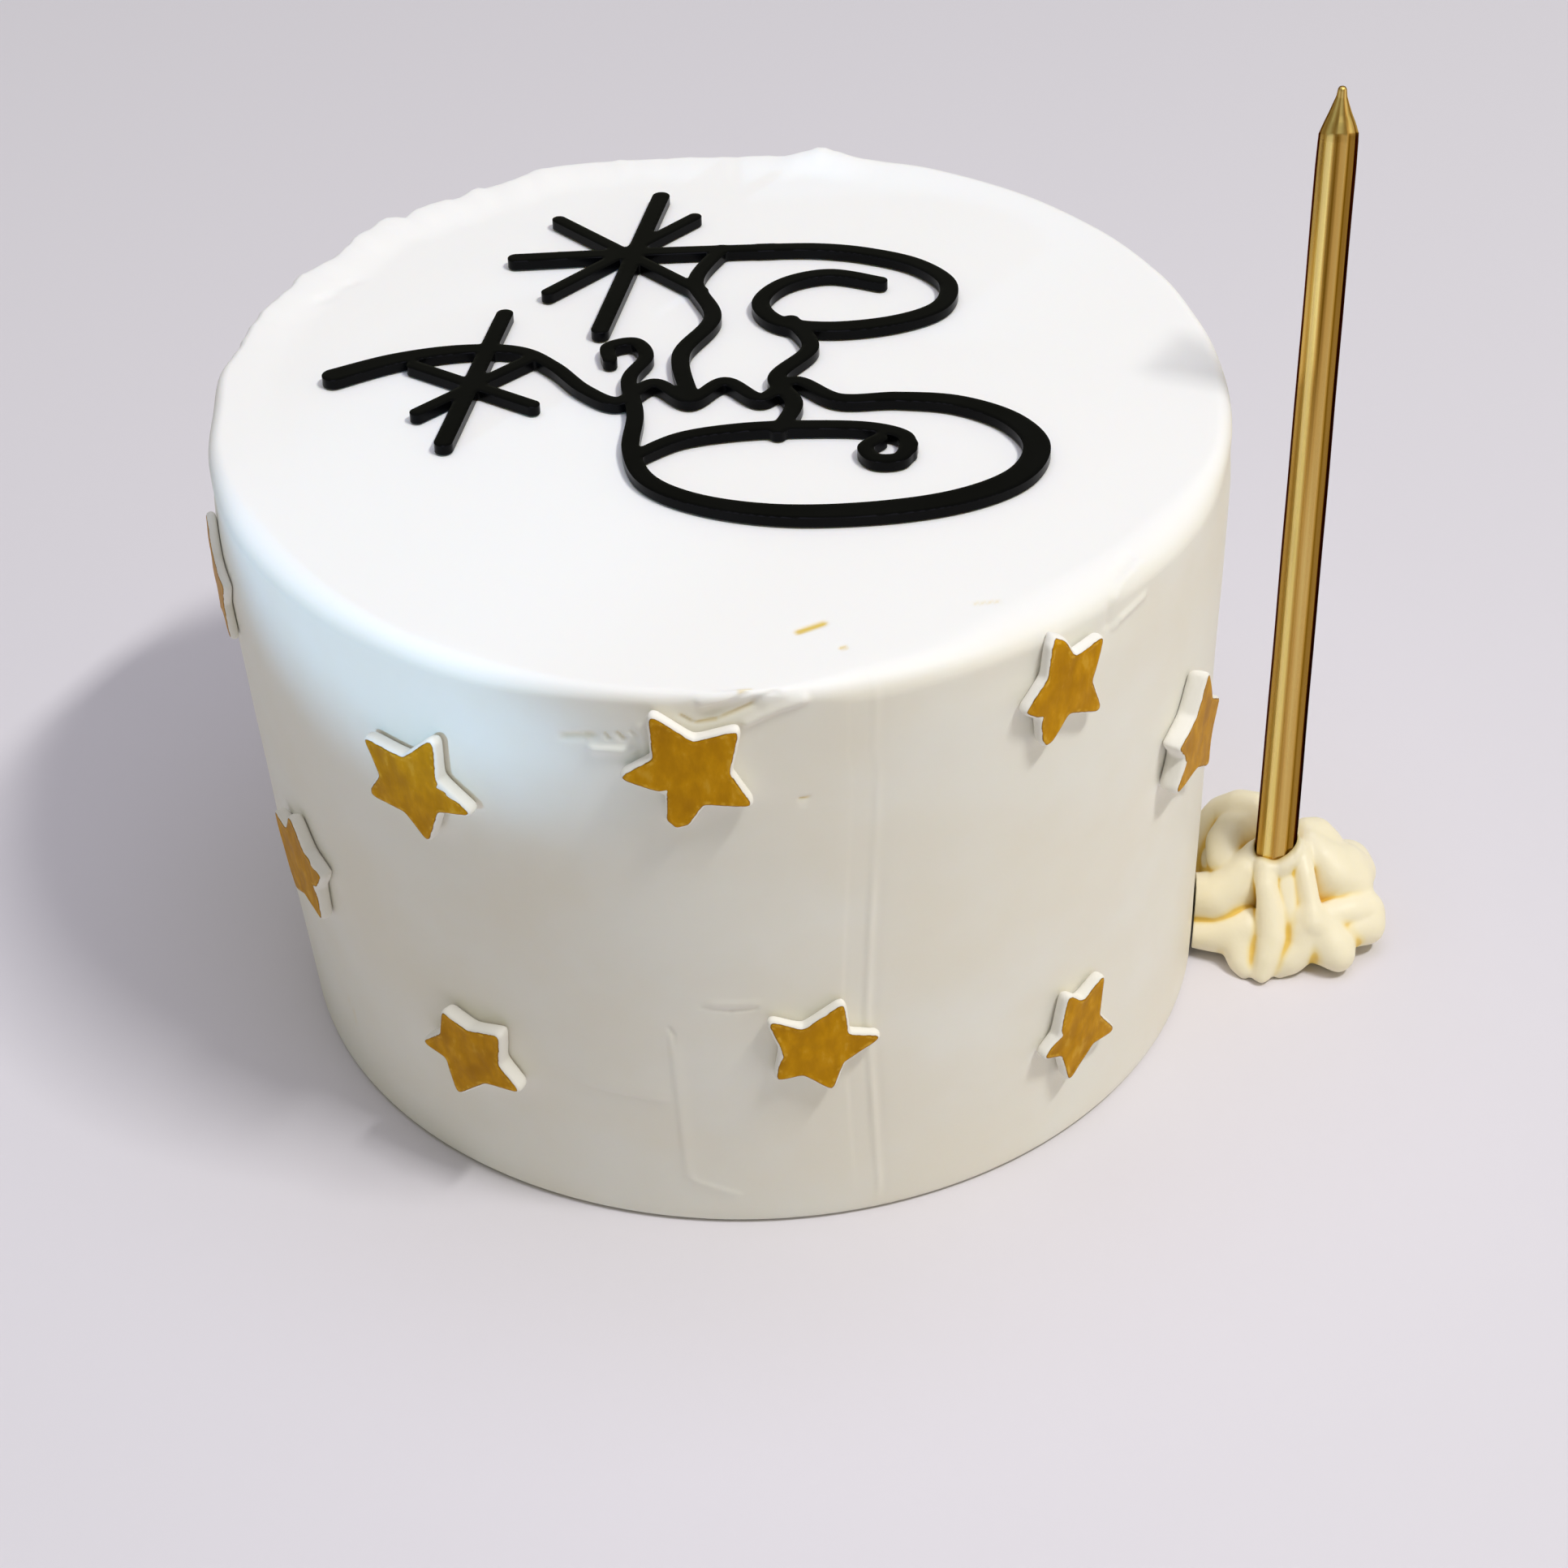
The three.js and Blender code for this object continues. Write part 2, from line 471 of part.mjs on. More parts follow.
/** Ring of cream that closes up to the candle, higher on one side. */
function collarRope() {
  const rope = [];
  for (let turn = 0; turn <= 360; turn += 20) {
    rope.push([
      CANDLE_X + COLLAR.radius * Math.sin(rad(turn)),
      CANDLE_Y - COLLAR.radius * Math.cos(rad(turn)),
      COLLAR.z + COLLAR.rise * Math.cos(rad(turn - COLLAR.highest)),
      COLLAR.thickness,
    ]);
  }
  return rope;
}

/** Balls strung along a rope, from its chain of points. */
function ropeBalls(rope) {
  const balls = [];
  for (let i = 0; i < rope.length - 1; i += 1) {
    const [from, to] = [rope[i], rope[i + 1]];
    const length = Math.hypot(to[0] - from[0], to[1] - from[1], to[2] - from[2]);
    const steps = Math.ceil(length / ROPE_STEP);
    for (let step = 0; step < steps; step += 1) {
      balls.push(from.map((value, axis) => lerp(value, to[axis], step / steps)));
    }
  }
  balls.push(rope[rope.length - 1]);
  return balls;
}

/** Where a ray leaves a ball, or far behind its start if it misses. */
function leaveBall([x, y, z, radius], origin, direction) {
  const toBall = [x - origin[0], y - origin[1], z - origin[2]];
  const along = toBall.reduce((sum, value, axis) => sum + value * direction[axis], 0);
  const away = toBall.reduce((sum, value) => sum + value * value, 0) - along * along;
  return away < radius * radius ? along + Math.sqrt(radius * radius - away) : -50;
}

/** Distance along a ray to the cream's outermost skin, eased in the creases between ropes. */
function skinDistance(ropes, origin, direction) {
  const leaves = ropes.map((balls) => (
    Math.max(...balls.map((ball) => leaveBall(ball, origin, direction)))
  ));
  const most = Math.max(...leaves);
  const sum = leaves.reduce((total, leave) => total + Math.exp(CREAM_CREASE * (leave - most)), 0);
  return most + Math.log(sum) / CREAM_CREASE;
}

/** Push a point of the cream out of the cake's side. */
function clearOfCake([x, y, z]) {
  const dx = x - cakeMiddleX(z);
  const distance = Math.hypot(dx, y);
  const azimuth = THREE.MathUtils.radToDeg(Math.atan2(dx, -y));
  const least = sideRadius(azimuth, z) + CREAM_GAP;
  const scale = Math.max(1, least / distance);
  return [cakeMiddleX(z) + dx * scale, y * scale, z];
}

/** Ruffle of cream with a socket for the candle, cut back where it meets the cake. */
function makeCream() {
  const ropes = [...CREAM_ROPES, collarRope()].map(ropeBalls);
  const columns = Array.from({ length: CREAM_COLUMNS }, (_, j) => (360 * j) / CREAM_COLUMNS);
  const middle = [CANDLE_X, CANDLE_Y, 0];
  const rings = CREAM_RISES.map((rise) => columns.map((az) => {
    const direction = [
      Math.sin(rad(az)) * Math.cos(rad(rise)),
      -Math.cos(rad(az)) * Math.cos(rad(rise)),
      Math.sin(rad(rise)),
    ];
    const distance = Math.max(CREAM_CORE, skinDistance(ropes, middle, direction));
    return clearOfCake(direction.map((value, axis) => middle[axis] + value * distance));
  }));
  const socketPoint = (az, z) => [
    candleX(SOCKET_FLOOR_Z) + SOCKET_RADIUS * Math.sin(rad(az)),
    CANDLE_Y - SOCKET_RADIUS * Math.cos(rad(az)),
    z,
  ];
  rings.push(columns.map((az) => (
    socketPoint(az, skinDistance(ropes, socketPoint(az, 0), [0, 0, 1]))
  )));
  rings.push(columns.map((az) => socketPoint(az, SOCKET_FLOOR_Z)));
  return ringsGeometry(middle, rings, [candleX(SOCKET_FLOOR_Z), CANDLE_Y, SOCKET_FLOOR_Z]);
}

/** Named mesh with a material of its own. */
function named(name, geometry, material) {
  const mesh = new THREE.Mesh(geometry, new THREE.MeshStandardMaterial(material));
  mesh.name = name;
  return mesh;
}

const icing = { color: 0xf3f0e8, roughness: 0.55, metalness: 0 };
const goldPaint = { color: 0xb07d14, roughness: 0.45, metalness: 0.3 };
const acrylic = { color: 0x0b0b0d, roughness: 0.15, metalness: 0 };
const candleGold = { color: 0xc79a4e, roughness: 0.3, metalness: 0.9 };
const cream = { color: 0xf6ecc4, roughness: 0.5, metalness: 0 };

const group = new THREE.Group();
group.name = 'celebration_cake';
group.add(named('cake', makeCake(), icing));
STARS.forEach((star, i) => {
  group.add(named(`star_${String(i + 1).padStart(2, '0')}`, makeStar(star), goldPaint));
});
group.add(named('topper', makeTopper(), acrylic));
group.add(named('cream_ruffle', makeCream(), cream));
group.add(named('candle', makeCandle(), candleGold));

export default group;
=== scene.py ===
# %% [markdown]
# # An iced celebration cake with one tall candle
# The cake is a drum of smooth white icing. Fondant stars, their faces painted gold, are pressed
# into its side, a flat black ornament lies on its top, and a gold candle stands at its foot in a
# ruffle of cream. The solids for all of this come in as a fixed frame. Each is exact but plain,
# so this lesson builds a finer skin for every one of them from the same measures, and then paints
# and lights them. Sizes are in millimetres until the moment they go into a mesh.

import math

import bpy
import numpy as np
from mathutils import Matrix


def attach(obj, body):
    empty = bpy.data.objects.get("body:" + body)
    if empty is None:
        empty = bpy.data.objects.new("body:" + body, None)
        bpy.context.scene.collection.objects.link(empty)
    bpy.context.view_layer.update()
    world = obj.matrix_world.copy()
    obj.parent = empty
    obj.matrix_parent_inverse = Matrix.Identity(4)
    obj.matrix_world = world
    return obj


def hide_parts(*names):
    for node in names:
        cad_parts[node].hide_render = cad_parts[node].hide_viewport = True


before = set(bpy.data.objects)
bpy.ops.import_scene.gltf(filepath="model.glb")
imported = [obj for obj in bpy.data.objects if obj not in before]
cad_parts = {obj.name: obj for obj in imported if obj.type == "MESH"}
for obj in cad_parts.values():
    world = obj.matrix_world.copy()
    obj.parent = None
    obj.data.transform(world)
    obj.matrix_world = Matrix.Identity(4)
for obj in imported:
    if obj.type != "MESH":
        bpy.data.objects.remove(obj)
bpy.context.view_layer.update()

# %% [markdown]
# ## Helpers for whole arrays
# Every surface below is a formula worked out for a whole grid of points at once, so there is
# never a loop over points. Two small curves do most of the work: an eased step, and a table of
# values round the cake that is read at any azimuth. Azimuth is in degrees, 0 towards the viewer
# (-Y) and 90 to the right (+X). A soft maximum joins shapes that run into each other.

# %% Eased steps and tables round the cake
MM = 0.001


def ease(value, low, high):
    """Eased step: with t the share of the way from low to high, held in 0..1, t*t*(3 - 2t)."""
    t = np.clip((value - low) / (high - low), 0, 1)
    return t * t * (3 - 2 * t)


def mix(first, second, share):
    """Straight mix: first at share 0 and second at share 1."""
    return first + (second - first) * share


def turned_from(direction, azimuth):
    """Degrees from a direction round to an azimuth, the short way, from -180 to 180."""
    return (azimuth - direction + 180) % 360 - 180


def around(table, azimuth):
    """Value of (azimuth, value) pairs at any azimuth, eased from pair to pair round the ring."""
    pairs = np.array(sorted(table), float)
    pairs = np.vstack([pairs[-1] - [360, 0], pairs, pairs[0] + [360, 0]])
    angle = turned_from(0, np.asarray(azimuth, float))
    i = np.clip(np.searchsorted(pairs[:, 0], angle, "right") - 1, 0, len(pairs) - 2)
    share = ease(angle, pairs[i, 0], pairs[i + 1, 0])
    return mix(pairs[i, 1], pairs[i + 1, 1], share)


def uneven(azimuth, spacing, seed):
    """Gentle noise from -1 to 1 round the ring: random knots every so many degrees, eased."""
    knots = np.arange(-180, 180, spacing)
    values = np.random.default_rng(seed).uniform(-1, 1, len(knots))
    return around(list(zip(knots, values)), azimuth)


def blend_most(stack, sharpness):
    """Soft maximum down a stack: the most, plus the log of the sum of exp(sharpness * rest)."""
    most = stack.max(0)
    return most + np.log(np.exp(sharpness * (stack - most)).sum(0)) / sharpness


def walked_along(points):
    """Length walked along a chain of points when each of them is reached."""
    return np.concatenate([[0], np.cumsum(np.linalg.norm(np.diff(points, axis=0), axis=1))])


print("eased step half way:", ease(0.5, 0, 1))

# %% [markdown]
# ## From arrays to a mesh
# Most pieces are stacks of rings with a point closing each end, like the skin of an onion laid
# open. One helper makes the faces of such a stack, and another puts points and faces into a mesh
# in one go. Values that a finish needs, such as how deep a point lies in a crease, travel with
# the mesh as attributes.

# %% Rings to faces, and faces to a finished piece
def closed_rings(start, rings, end):
    """Skin over rings of equal count: quads from ring to ring and a fan to each end point."""
    rows, count = rings.shape[:2]
    points = np.vstack([[start], rings.reshape(-1, 3), [end]])
    here = 1 + np.arange(count)
    ahead = 1 + (np.arange(count) + 1) % count
    step = np.arange(rows - 1)[:, None] * count
    quads = np.stack([here + step, ahead + step, ahead + step + count, here + step + count], -1)
    top = (rows - 1) * count
    fans = np.vstack([
        np.stack([np.zeros(count, int), ahead, here], -1),
        np.stack([here + top, ahead + top, np.full(count, len(points) - 1)], -1),
    ])
    return points, quads.reshape(-1, 4), fans


def capped(first, values, last):
    """Values for every point of a closed stack: the start point's, the rings' and the end's."""
    return np.concatenate([[first], values.ravel(), [last]])


def add_piece(name, points, quads, triangles, node, slot, finish, sharp=180, **values):
    """Mesh of points in mm with quads and triangles, standing for one solid of the frame."""
    mesh = bpy.data.meshes.new(name)
    mesh.vertices.add(len(points))
    mesh.vertices.foreach_set("co", (np.asarray(points) * MM).astype(np.float32).ravel())
    corners = np.concatenate([quads.ravel(), triangles.ravel()]).astype(np.int32)
    starts = np.concatenate([
        np.arange(len(quads)) * 4, quads.size + np.arange(len(triangles)) * 3,
    ]).astype(np.int32)
    mesh.loops.add(len(corners))
    mesh.polygons.add(len(starts))
    mesh.polygons.foreach_set("loop_start", starts)
    mesh.polygons.foreach_set("vertices", corners)
    mesh.update(calc_edges=True)
    mesh.shade_smooth()
    if sharp < 180:
        mesh.set_sharp_from_angle(angle=math.radians(sharp))
    for label, value in values.items():
        layer = mesh.attributes.new(label, "FLOAT", "POINT")
        layer.data.foreach_set("value", np.asarray(value).astype(np.float32).ravel())
    mesh.materials.append(finish)
    piece = bpy.data.objects.new(name, mesh)
    bpy.context.scene.collection.objects.link(piece)
    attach(piece, "root")
    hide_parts(node)
    print(f"{name}: {len(points)} points, {2 * len(quads) + len(triangles)} triangles")
    return piece


# %% [markdown]
# ## Shader arithmetic
# A finish is easier to read as a formula than as a web of boxes. This small class wraps one
# socket. Plus, minus and times on it add Math nodes, and one method adds any other node: its
# settings first, then the numbers or wires that go into its sockets.

# %% The wire class
class Wire:
    """One output of a shader node, which can be added to, multiplied and sent on."""

    def __init__(self, tree, socket=None):
        self.tree = tree
        self.socket = socket

    def node(self, kind, settings, values, output=0):
        """Add a node of a kind, set it up, fill or link its sockets and return one output."""
        made = self.tree.nodes.new(kind)
        for name, setting in settings.items():
            setattr(made, name, setting)
        for name, value in values.items():
            if isinstance(value, Wire):
                self.tree.links.new(value.socket, made.inputs[name])
            else:
                made.inputs[name].default_value = value
        return Wire(self.tree, made.outputs[output])

    def carried(self, label):
        """Value of an attribute that travels with the mesh."""
        return self.node("ShaderNodeAttribute", {"attribute_name": label}, {}, "Fac")

    def height(self):
        """Height part of this position."""
        return self.node("ShaderNodeSeparateXYZ", {}, {"Vector": self}, "Z")

    def maths(self, operation, first, second):
        """Add a Math node for two values or wires."""
        return self.node("ShaderNodeMath", {"operation": operation}, {0: first, 1: second})

    def __add__(self, other):
        return self.maths("ADD", self, other)

    def __sub__(self, other):
        return self.maths("SUBTRACT", self, other)

    def __rsub__(self, other):
        return self.maths("SUBTRACT", other, self)

    def __mul__(self, other):
        return self.maths("MULTIPLY", self, other)

    __radd__ = __add__
    __rmul__ = __mul__

    def step(self, low, high):
        """Eased step of this value from 0 at low to 1 at high."""
        return self.node(
            "ShaderNodeMapRange", {"interpolation_type": "SMOOTHSTEP"},
            {"Value": self, "From Min": low, "From Max": high},
        )

    def blend(self, first, second):
        """Colour that is first where this value is 0 and second where it is 1."""
        return self.node(
            "ShaderNodeMix", {"data_type": "RGBA"}, {0: self, 6: first, 7: second}, 2
        )

    def to(self, shader, name):
        """Send this value into a socket of a shader."""
        self.tree.links.new(self.socket, shader.inputs[name])


print("a wire's methods:", *(name for name in vars(Wire) if not name.startswith("_")))


# %% Colours, finishes, noise and bumps
def colour(code):
    """Linear colour of six screen digits: each part c becomes ((c + 0.055) / 1.055)^2.4."""
    parts = [int(code[i:i + 2], 16) / 255 for i in (0, 2, 4)]
    return tuple(((c + 0.055) / 1.055) ** 2.4 for c in parts) + (1.0,)


def new_finish(name, **sockets):
    """Material, its main shader with these sockets set, and the wire of the object's position."""
    material = bpy.data.materials.new(name)
    material.use_nodes = True
    shader = material.node_tree.nodes["Principled BSDF"]
    for label, value in sockets.items():
        shader.inputs[label.replace("_", " ")].default_value = value
    place = Wire(material.node_tree).node("ShaderNodeTexCoord", {}, {}, "Object")
    return material, shader, place


def grain(place, size, detail=2.0, stretch=(1, 1, 1)):
    """Soft noise from 0 to 1 with spots of about the given size in mm, stretched per axis."""
    pulled = place.node("ShaderNodeVectorMath", {"operation": "MULTIPLY"}, {0: place, 1: stretch})
    return place.node(
        "ShaderNodeTexNoise", {}, {"Vector": pulled, "Scale": 1 / (size * MM), "Detail": detail}
    )


def relief(height, depth):
    """Small bumps for a shader: height 0..1 stands up to depth mm proud."""
    return height.node("ShaderNodeBump", {}, {"Height": height, "Distance": depth * MM}, "Normal")


print("linear part of half a screen colour:", colour("808080")[0])

# %% [markdown]
# ## The icing's finish
# Buttercream smoothed with a warm scraper is matt to silky and an ivory shade of white. Light
# sinks into it a little, which a small share of subsurface scattering gives. The scraper leaves
# hair-fine level lines round the side, so the noise in the bump is squeezed in height. A warm
# tan follows an attribute of the mesh: it is butter where the icing is nicked and in smears on
# the top, and painted shade in the grooves, the scrape and under the torn lip beside the highest
# star. The top is painted whiter than the side: painted light, since the top takes the most light.

# %% Icing
icing, shader, place = new_finish(
    "icing", Roughness=0.5, Subsurface_Weight=0.12, Subsurface_Radius=(1.0, 0.75, 0.5),
    Subsurface_Scale=1.5 * MM, Specular_IOR_Level=0.35,
)
cloud = grain(place, 28, 3.0)
# The tan attribute is butter on nicks and smears, and painted shade in the grooves, scrape and
# torn lip beside the highest star.
tan_butter_and_shade = place.carried("butter")
tone_and_painted_top_light = cloud.step(0.3, 0.7).blend(colour("f4f2ea"), colour("f1ecdf"))
# Painted light: the top is painted whiter than the side, since it takes the most light.
tone_and_painted_top_light = place.height().step(101.5 * MM, 104.5 * MM).blend(tone_and_painted_top_light, colour("fdfcfa"))
tan_butter_and_shade.step(0.0, 1.0).blend(tone_and_painted_top_light, colour("e6c75e")).to(shader, "Base Color")
lines = grain(place, 14, 2.0, (1, 1, 16))
relief(lines * 0.7 + grain(place, 3.0) * 0.3, 0.05).to(shader, "Normal")
print("icing's nodes:", len(icing.node_tree.nodes))

# %% [markdown]
# ## The body of the cake
# A cake drum narrows a little towards its foot, and its icing is never quite round: the scraper
# leaves a lip on one stretch of the rim and a wide soft shoulder on another. The skin is a grid
# of azimuths by heights. Its radius is a straight taper plus tables for the rim, and the edge is
# a quarter ellipse whose width and lip also come from tables, so the skin hugs the solid.

# %% Measures of the cake
CAKE_HEIGHT = 104.15
BASE_RADIUS = 73.95
TOP_RADIUS = 78.5
LEAN_X = -2.6
FOOT_ROUND = 1.2
LIP_WIDTH = 8.5
EDGE_DROP = 3.6
SWELL = 0.2
BULGE = 0.9
BULGE_AZIMUTH = -78
BULGE_SPREAD = 30
# The rim's unevenness fades in between these heights.
RIM_FADE_Z = (91, 102)
# Azimuths where the torn flap begins, is full, is full still and ends, and how much it sharpens.
TORN_FLAP = (-6, -2, 4, 7)
TORN_SHARPER = 0.7
# Azimuth and how far the rim stands out of the plain taper there.
RIM_OUTLINE = [
    (-172, -1.5), (-165, -0.4), (-161, 0.2), (-157, 0.2), (-153, -1.3), (-149, -0.8),
    (-145, -1.7), (-141.5, -0.7), (-138, -1.2), (-135.5, 0.6), (-131, -0.4), (-125, -1.7),
    (-120, -0.3), (-117, -0.9), (-111, -0.2), (-103, -0.8), (-98, -0.2), (-90, -0.9),
    (-80, -0.5), (-66, 0), (-30, 0.1), (10, 0), (40, -0.6), (62, 0), (77, -0.5), (92, -0.6),
    (104, -0.4), (115, 0.3), (128, 0.8), (141, 1.3), (152, 1.2), (162, 0.1), (166.5, 1.1),
    (171, -1.4), (178, -2.0),
]
# Azimuth and the width of the rounded edge, then azimuth and the height of the lip on it.
EDGE_WIDTH = [
    (-175, 1.7), (-140, 1.3), (-105, 1.6), (-85, 2.3), (-60, 4.4), (-32, 3.2), (-8, 1.8),
    (4, 1.6), (19, 4.4), (37, 7.4), (56, 6.4), (76, 2.6), (110, 2.0), (150, 1.8),
]
LIP_HEIGHT = [
    (-180, 0.35), (-168, 0.7), (-155, 0.9), (-136, 1.15), (-118, 0.8), (-100, 0.35),
    (-80, 0.05), (0, 0), (60, 0), (140, 0.1), (158, 0.25), (166.5, 1.1), (173, 0.3),
]


def side_radius(azimuth, z):
    """Taper plus the rim's unevenness near the top, a slow two-fold swell and a low bulge."""
    taper = mix(BASE_RADIUS, TOP_RADIUS, z / CAKE_HEIGHT)
    rim = around(RIM_OUTLINE, azimuth) * ease(z, *RIM_FADE_Z)
    slow = SWELL * np.sin(np.radians(2 * azimuth + 10)) * np.sin(np.pi * z / CAKE_HEIGHT)
    turn = turned_from(BULGE_AZIMUTH, azimuth)
    bulge = BULGE * np.exp(-((turn / BULGE_SPREAD) ** 2))
    bulge = bulge * ease(z, 0, 40) * (1 - ease(z, 78, CAKE_HEIGHT))
    return taper + rim + slow + bulge


def side_point(azimuth, z, out, radius_z=None):
    """Point at the side's radius plus out, about the middle line that leans left with height."""
    radius_z = z if radius_z is None else radius_z
    r = side_radius(azimuth, radius_z) + out
    turn = np.radians(azimuth)
    return np.stack(
        [LEAN_X * radius_z / CAKE_HEIGHT + r * np.sin(turn), -r * np.cos(turn), z + 0 * r], -1
    )


def edge_width(azimuth):
    """Width of the rounded edge, which is sharp where a flap was torn beside one star."""
    torn = ease(azimuth, *TORN_FLAP[:2]) * (1 - ease(azimuth, *TORN_FLAP[2:]))
    return around(EDGE_WIDTH, azimuth) - TORN_SHARPER * torn


print("radius at half height:", side_radius(np.array([0.0]), 52)[0])

# %% [markdown]
# ## What the scraper and the fingers left
# Real icing carries its history: a seam where the scraper stopped, a step, a torn flap at the
# rim, smears beside the stars. Each is a short line on the unrolled side. Across the line the
# icing rises or sinks as a bell curve that may be steep on one side and slow on the other, which
# is what makes a smear look dragged. Lines on the flat top are written the same way in x and y.

# %% Marks on the side and the top
# Azimuth and climb of both ends, height, reach on the left and right of the line, butter tint,
# which in some grooves is painted shade.
SIDE_MARKS = [
    # step line that bends off to the right low at the front, and the soft step left of it
    (-8.6, 11, -9.0, 40, 0.16, 0.35, 1.3, 0),
    (-8.6, 12.5, -7.8, 8.9, 0.13, 0.4, 1.0, 0),
    (-8.0, 9.2, -2.2, 6.2, 0.13, 0.4, 1.4, 0),
    (-21.0, 27.5, -9.6, 25.8, 0.2, 4.0, 0.5, 0),
    (-9.2, 41.5, -8.4, 39.2, -0.2, 0.3, 0.3, 0.05),
    (-5.6, 45.9, -1.8, 44.9, -0.16, 0.25, 0.35, 0.05),
    (-2.4, 44.9, 1.2, 45.6, -0.22, 0.22, 0.3, 0.05),
    (-6.6, 50.4, 0.6, 49.2, -0.1, 0.5, 0.5, 0),
    (-4.6, 46.6, 1.4, 46.6, 0.14, 0.5, 1.0, 0),
    # torn lip of the rim, the hollow under it and the crease beside the highest star; their tan is
    # painted shade
    (-3.0, 102.2, 1.2, 104.0, 0.4, 1.3, 0.22, 0.12),
    (0.9, 103.9, 4.6, 106.1, 0.5, 1.3, 0.22, 0.45),
    (-3.0, 100.6, 3.4, 102.6, -0.5, 1.1, 1.3, 0),
    (2.0, 102.6, 5.2, 104.4, -0.35, 0.6, 0.9, 0),
    (-5.0, 100.9, -3.5, 99.4, -0.35, 0.35, 0.35, 0.45),
    (-3.6, 99.3, -0.9, 99.8, -0.35, 0.35, 0.35, 0.5),
    (-1.1, 99.8, 2.8, 102.2, -0.4, 0.4, 0.35, 0.4),
    (1.2, 98.8, 4.6, 101.2, 0.6, 0.7, 0.6, 0),
    (4.2, 101.0, 8.2, 102.6, 0.5, 0.8, 0.6, 0),
    # scrape left of the same star, with its nicks; their tan is painted shade in the grooves
    (-17.7, 95.0, -13.3, 96.2, -0.5, 0.9, 0.8, 0.3),
    (-15.2, 96.2, -14.4, 95.0, 0.3, 0.25, 0.25, 0.2),
    (-12.8, 96.9, -12.2, 95.4, -0.4, 0.35, 0.3, 0.35),
    (-11.6, 97.2, -10.6, 95.6, -0.4, 0.4, 0.35, 0.4),
    (-10.2, 97.6, -9.2, 96.4, -0.3, 0.3, 0.3, 0.2),
    (-14.8, 93.9, -9.4, 94.3, 0.6, 0.35, 1.3, 0),
    (-8.6, 91.5, -9.0, 98.8, 0.3, 0.5, 0.6, 0),
    # ridges under the right shoulder
    (44.6, 96.6, 46.2, 98.2, 0.4, 0.4, 0.7, 0),
    (45.8, 97.8, 50.4, 99.0, 0.45, 0.5, 0.9, 0),
    (43.9, 97.2, 44.4, 102.4, -0.35, 0.6, 0.5, 0),
    (44.9, 101.4, 47.4, 104.2, 0.35, 0.4, 0.5, 0),
    (46.8, 104.9, 51.4, 106.0, -0.45, 0.5, 0.5, 0),
    (47.2, 103.8, 51.8, 104.8, 0.28, 0.5, 0.7, 0),
    # nicks
    (-59.1, 18.2, -58.9, 16.6, -0.25, 0.3, 0.3, 0.5),
    (-58.5, 15.4, -58.1, 12.8, -0.25, 0.3, 0.3, 0.5),
    (6.5, 84.8, 7.9, 85.0, -0.22, 0.25, 0.2, 0.6),
]
# X and y of both ends, height, reach on the left and right of the line, butter.
TOP_MARKS = [
    (6.8, -64.7, 11.8, -62.1, -0.12, 0.7, 0.6, 1.0),
    (12.8, -68.6, 14.4, -68.2, -0.1, 0.5, 0.5, 0.7),
    (31.8, -58.8, 36.4, -58.2, -0.08, 0.5, 0.5, 0.4),
    (-75.2, -24.0, -74.2, -21.6, -0.15, 0.35, 0.35, 0.8),
    (-66.9, 30.6, -63.0, 33.6, -0.35, 0.8, 0.8, 0.0),
    (-63.4, 35.6, -60.0, 37.0, -0.3, 0.7, 0.6, 0.0),
]
# Height and azimuth of the seam where the scraper stopped, from the foot to the rim.
SEAM = np.array([
    (0, 13.9), (7, 14.1), (20, 13.7), (43, 13.2), (60, 13.9), (80, 14.8), (88, 15.1), (92, 14.7),
    (95, 14.9), (103, 15.1),
])
# How far the seam stands out, and how deep the band scraped beside it is.
SEAM_RIDGE = 0.12
BAND_DEPTH = 0.10
print("marks on the side:", len(SIDE_MARKS), "and on the top:", len(TOP_MARKS))

# %% From lines to relief
MEAN_RADIUS = 76
MM_PER_DEGREE = math.radians(1) * MEAN_RADIUS


def line_marks(across, up, marks, squeeze):
    """Sum of bells: height * exp(-(distance from the line / reach)^2), faded past the ends."""
    rise = np.zeros(np.broadcast(across, up).shape)
    butter = np.zeros_like(rise)
    for u0, v0, u1, v1, height, before, after, tint in marks:
        du, dv = (u1 - u0) * squeeze, v1 - v0
        length = math.hypot(du, dv)
        along = ((across - u0) * squeeze * du + (up - v0) * dv) / length
        side = ((across - u0) * squeeze * dv - (up - v0) * du) / length
        reach = np.where(side < 0, before, after)
        fade = min(before, after) + 0.15 * length
        ends = ease(along, -0.3 * fade, 0.7 * fade)
        ends = ends * (1 - ease(along, length - 0.7 * fade, length + 0.3 * fade))
        bell = np.exp(-((side / reach) ** 2)) * ends
        rise = rise + height * bell
        butter = np.maximum(butter, tint * bell)
    return rise, butter


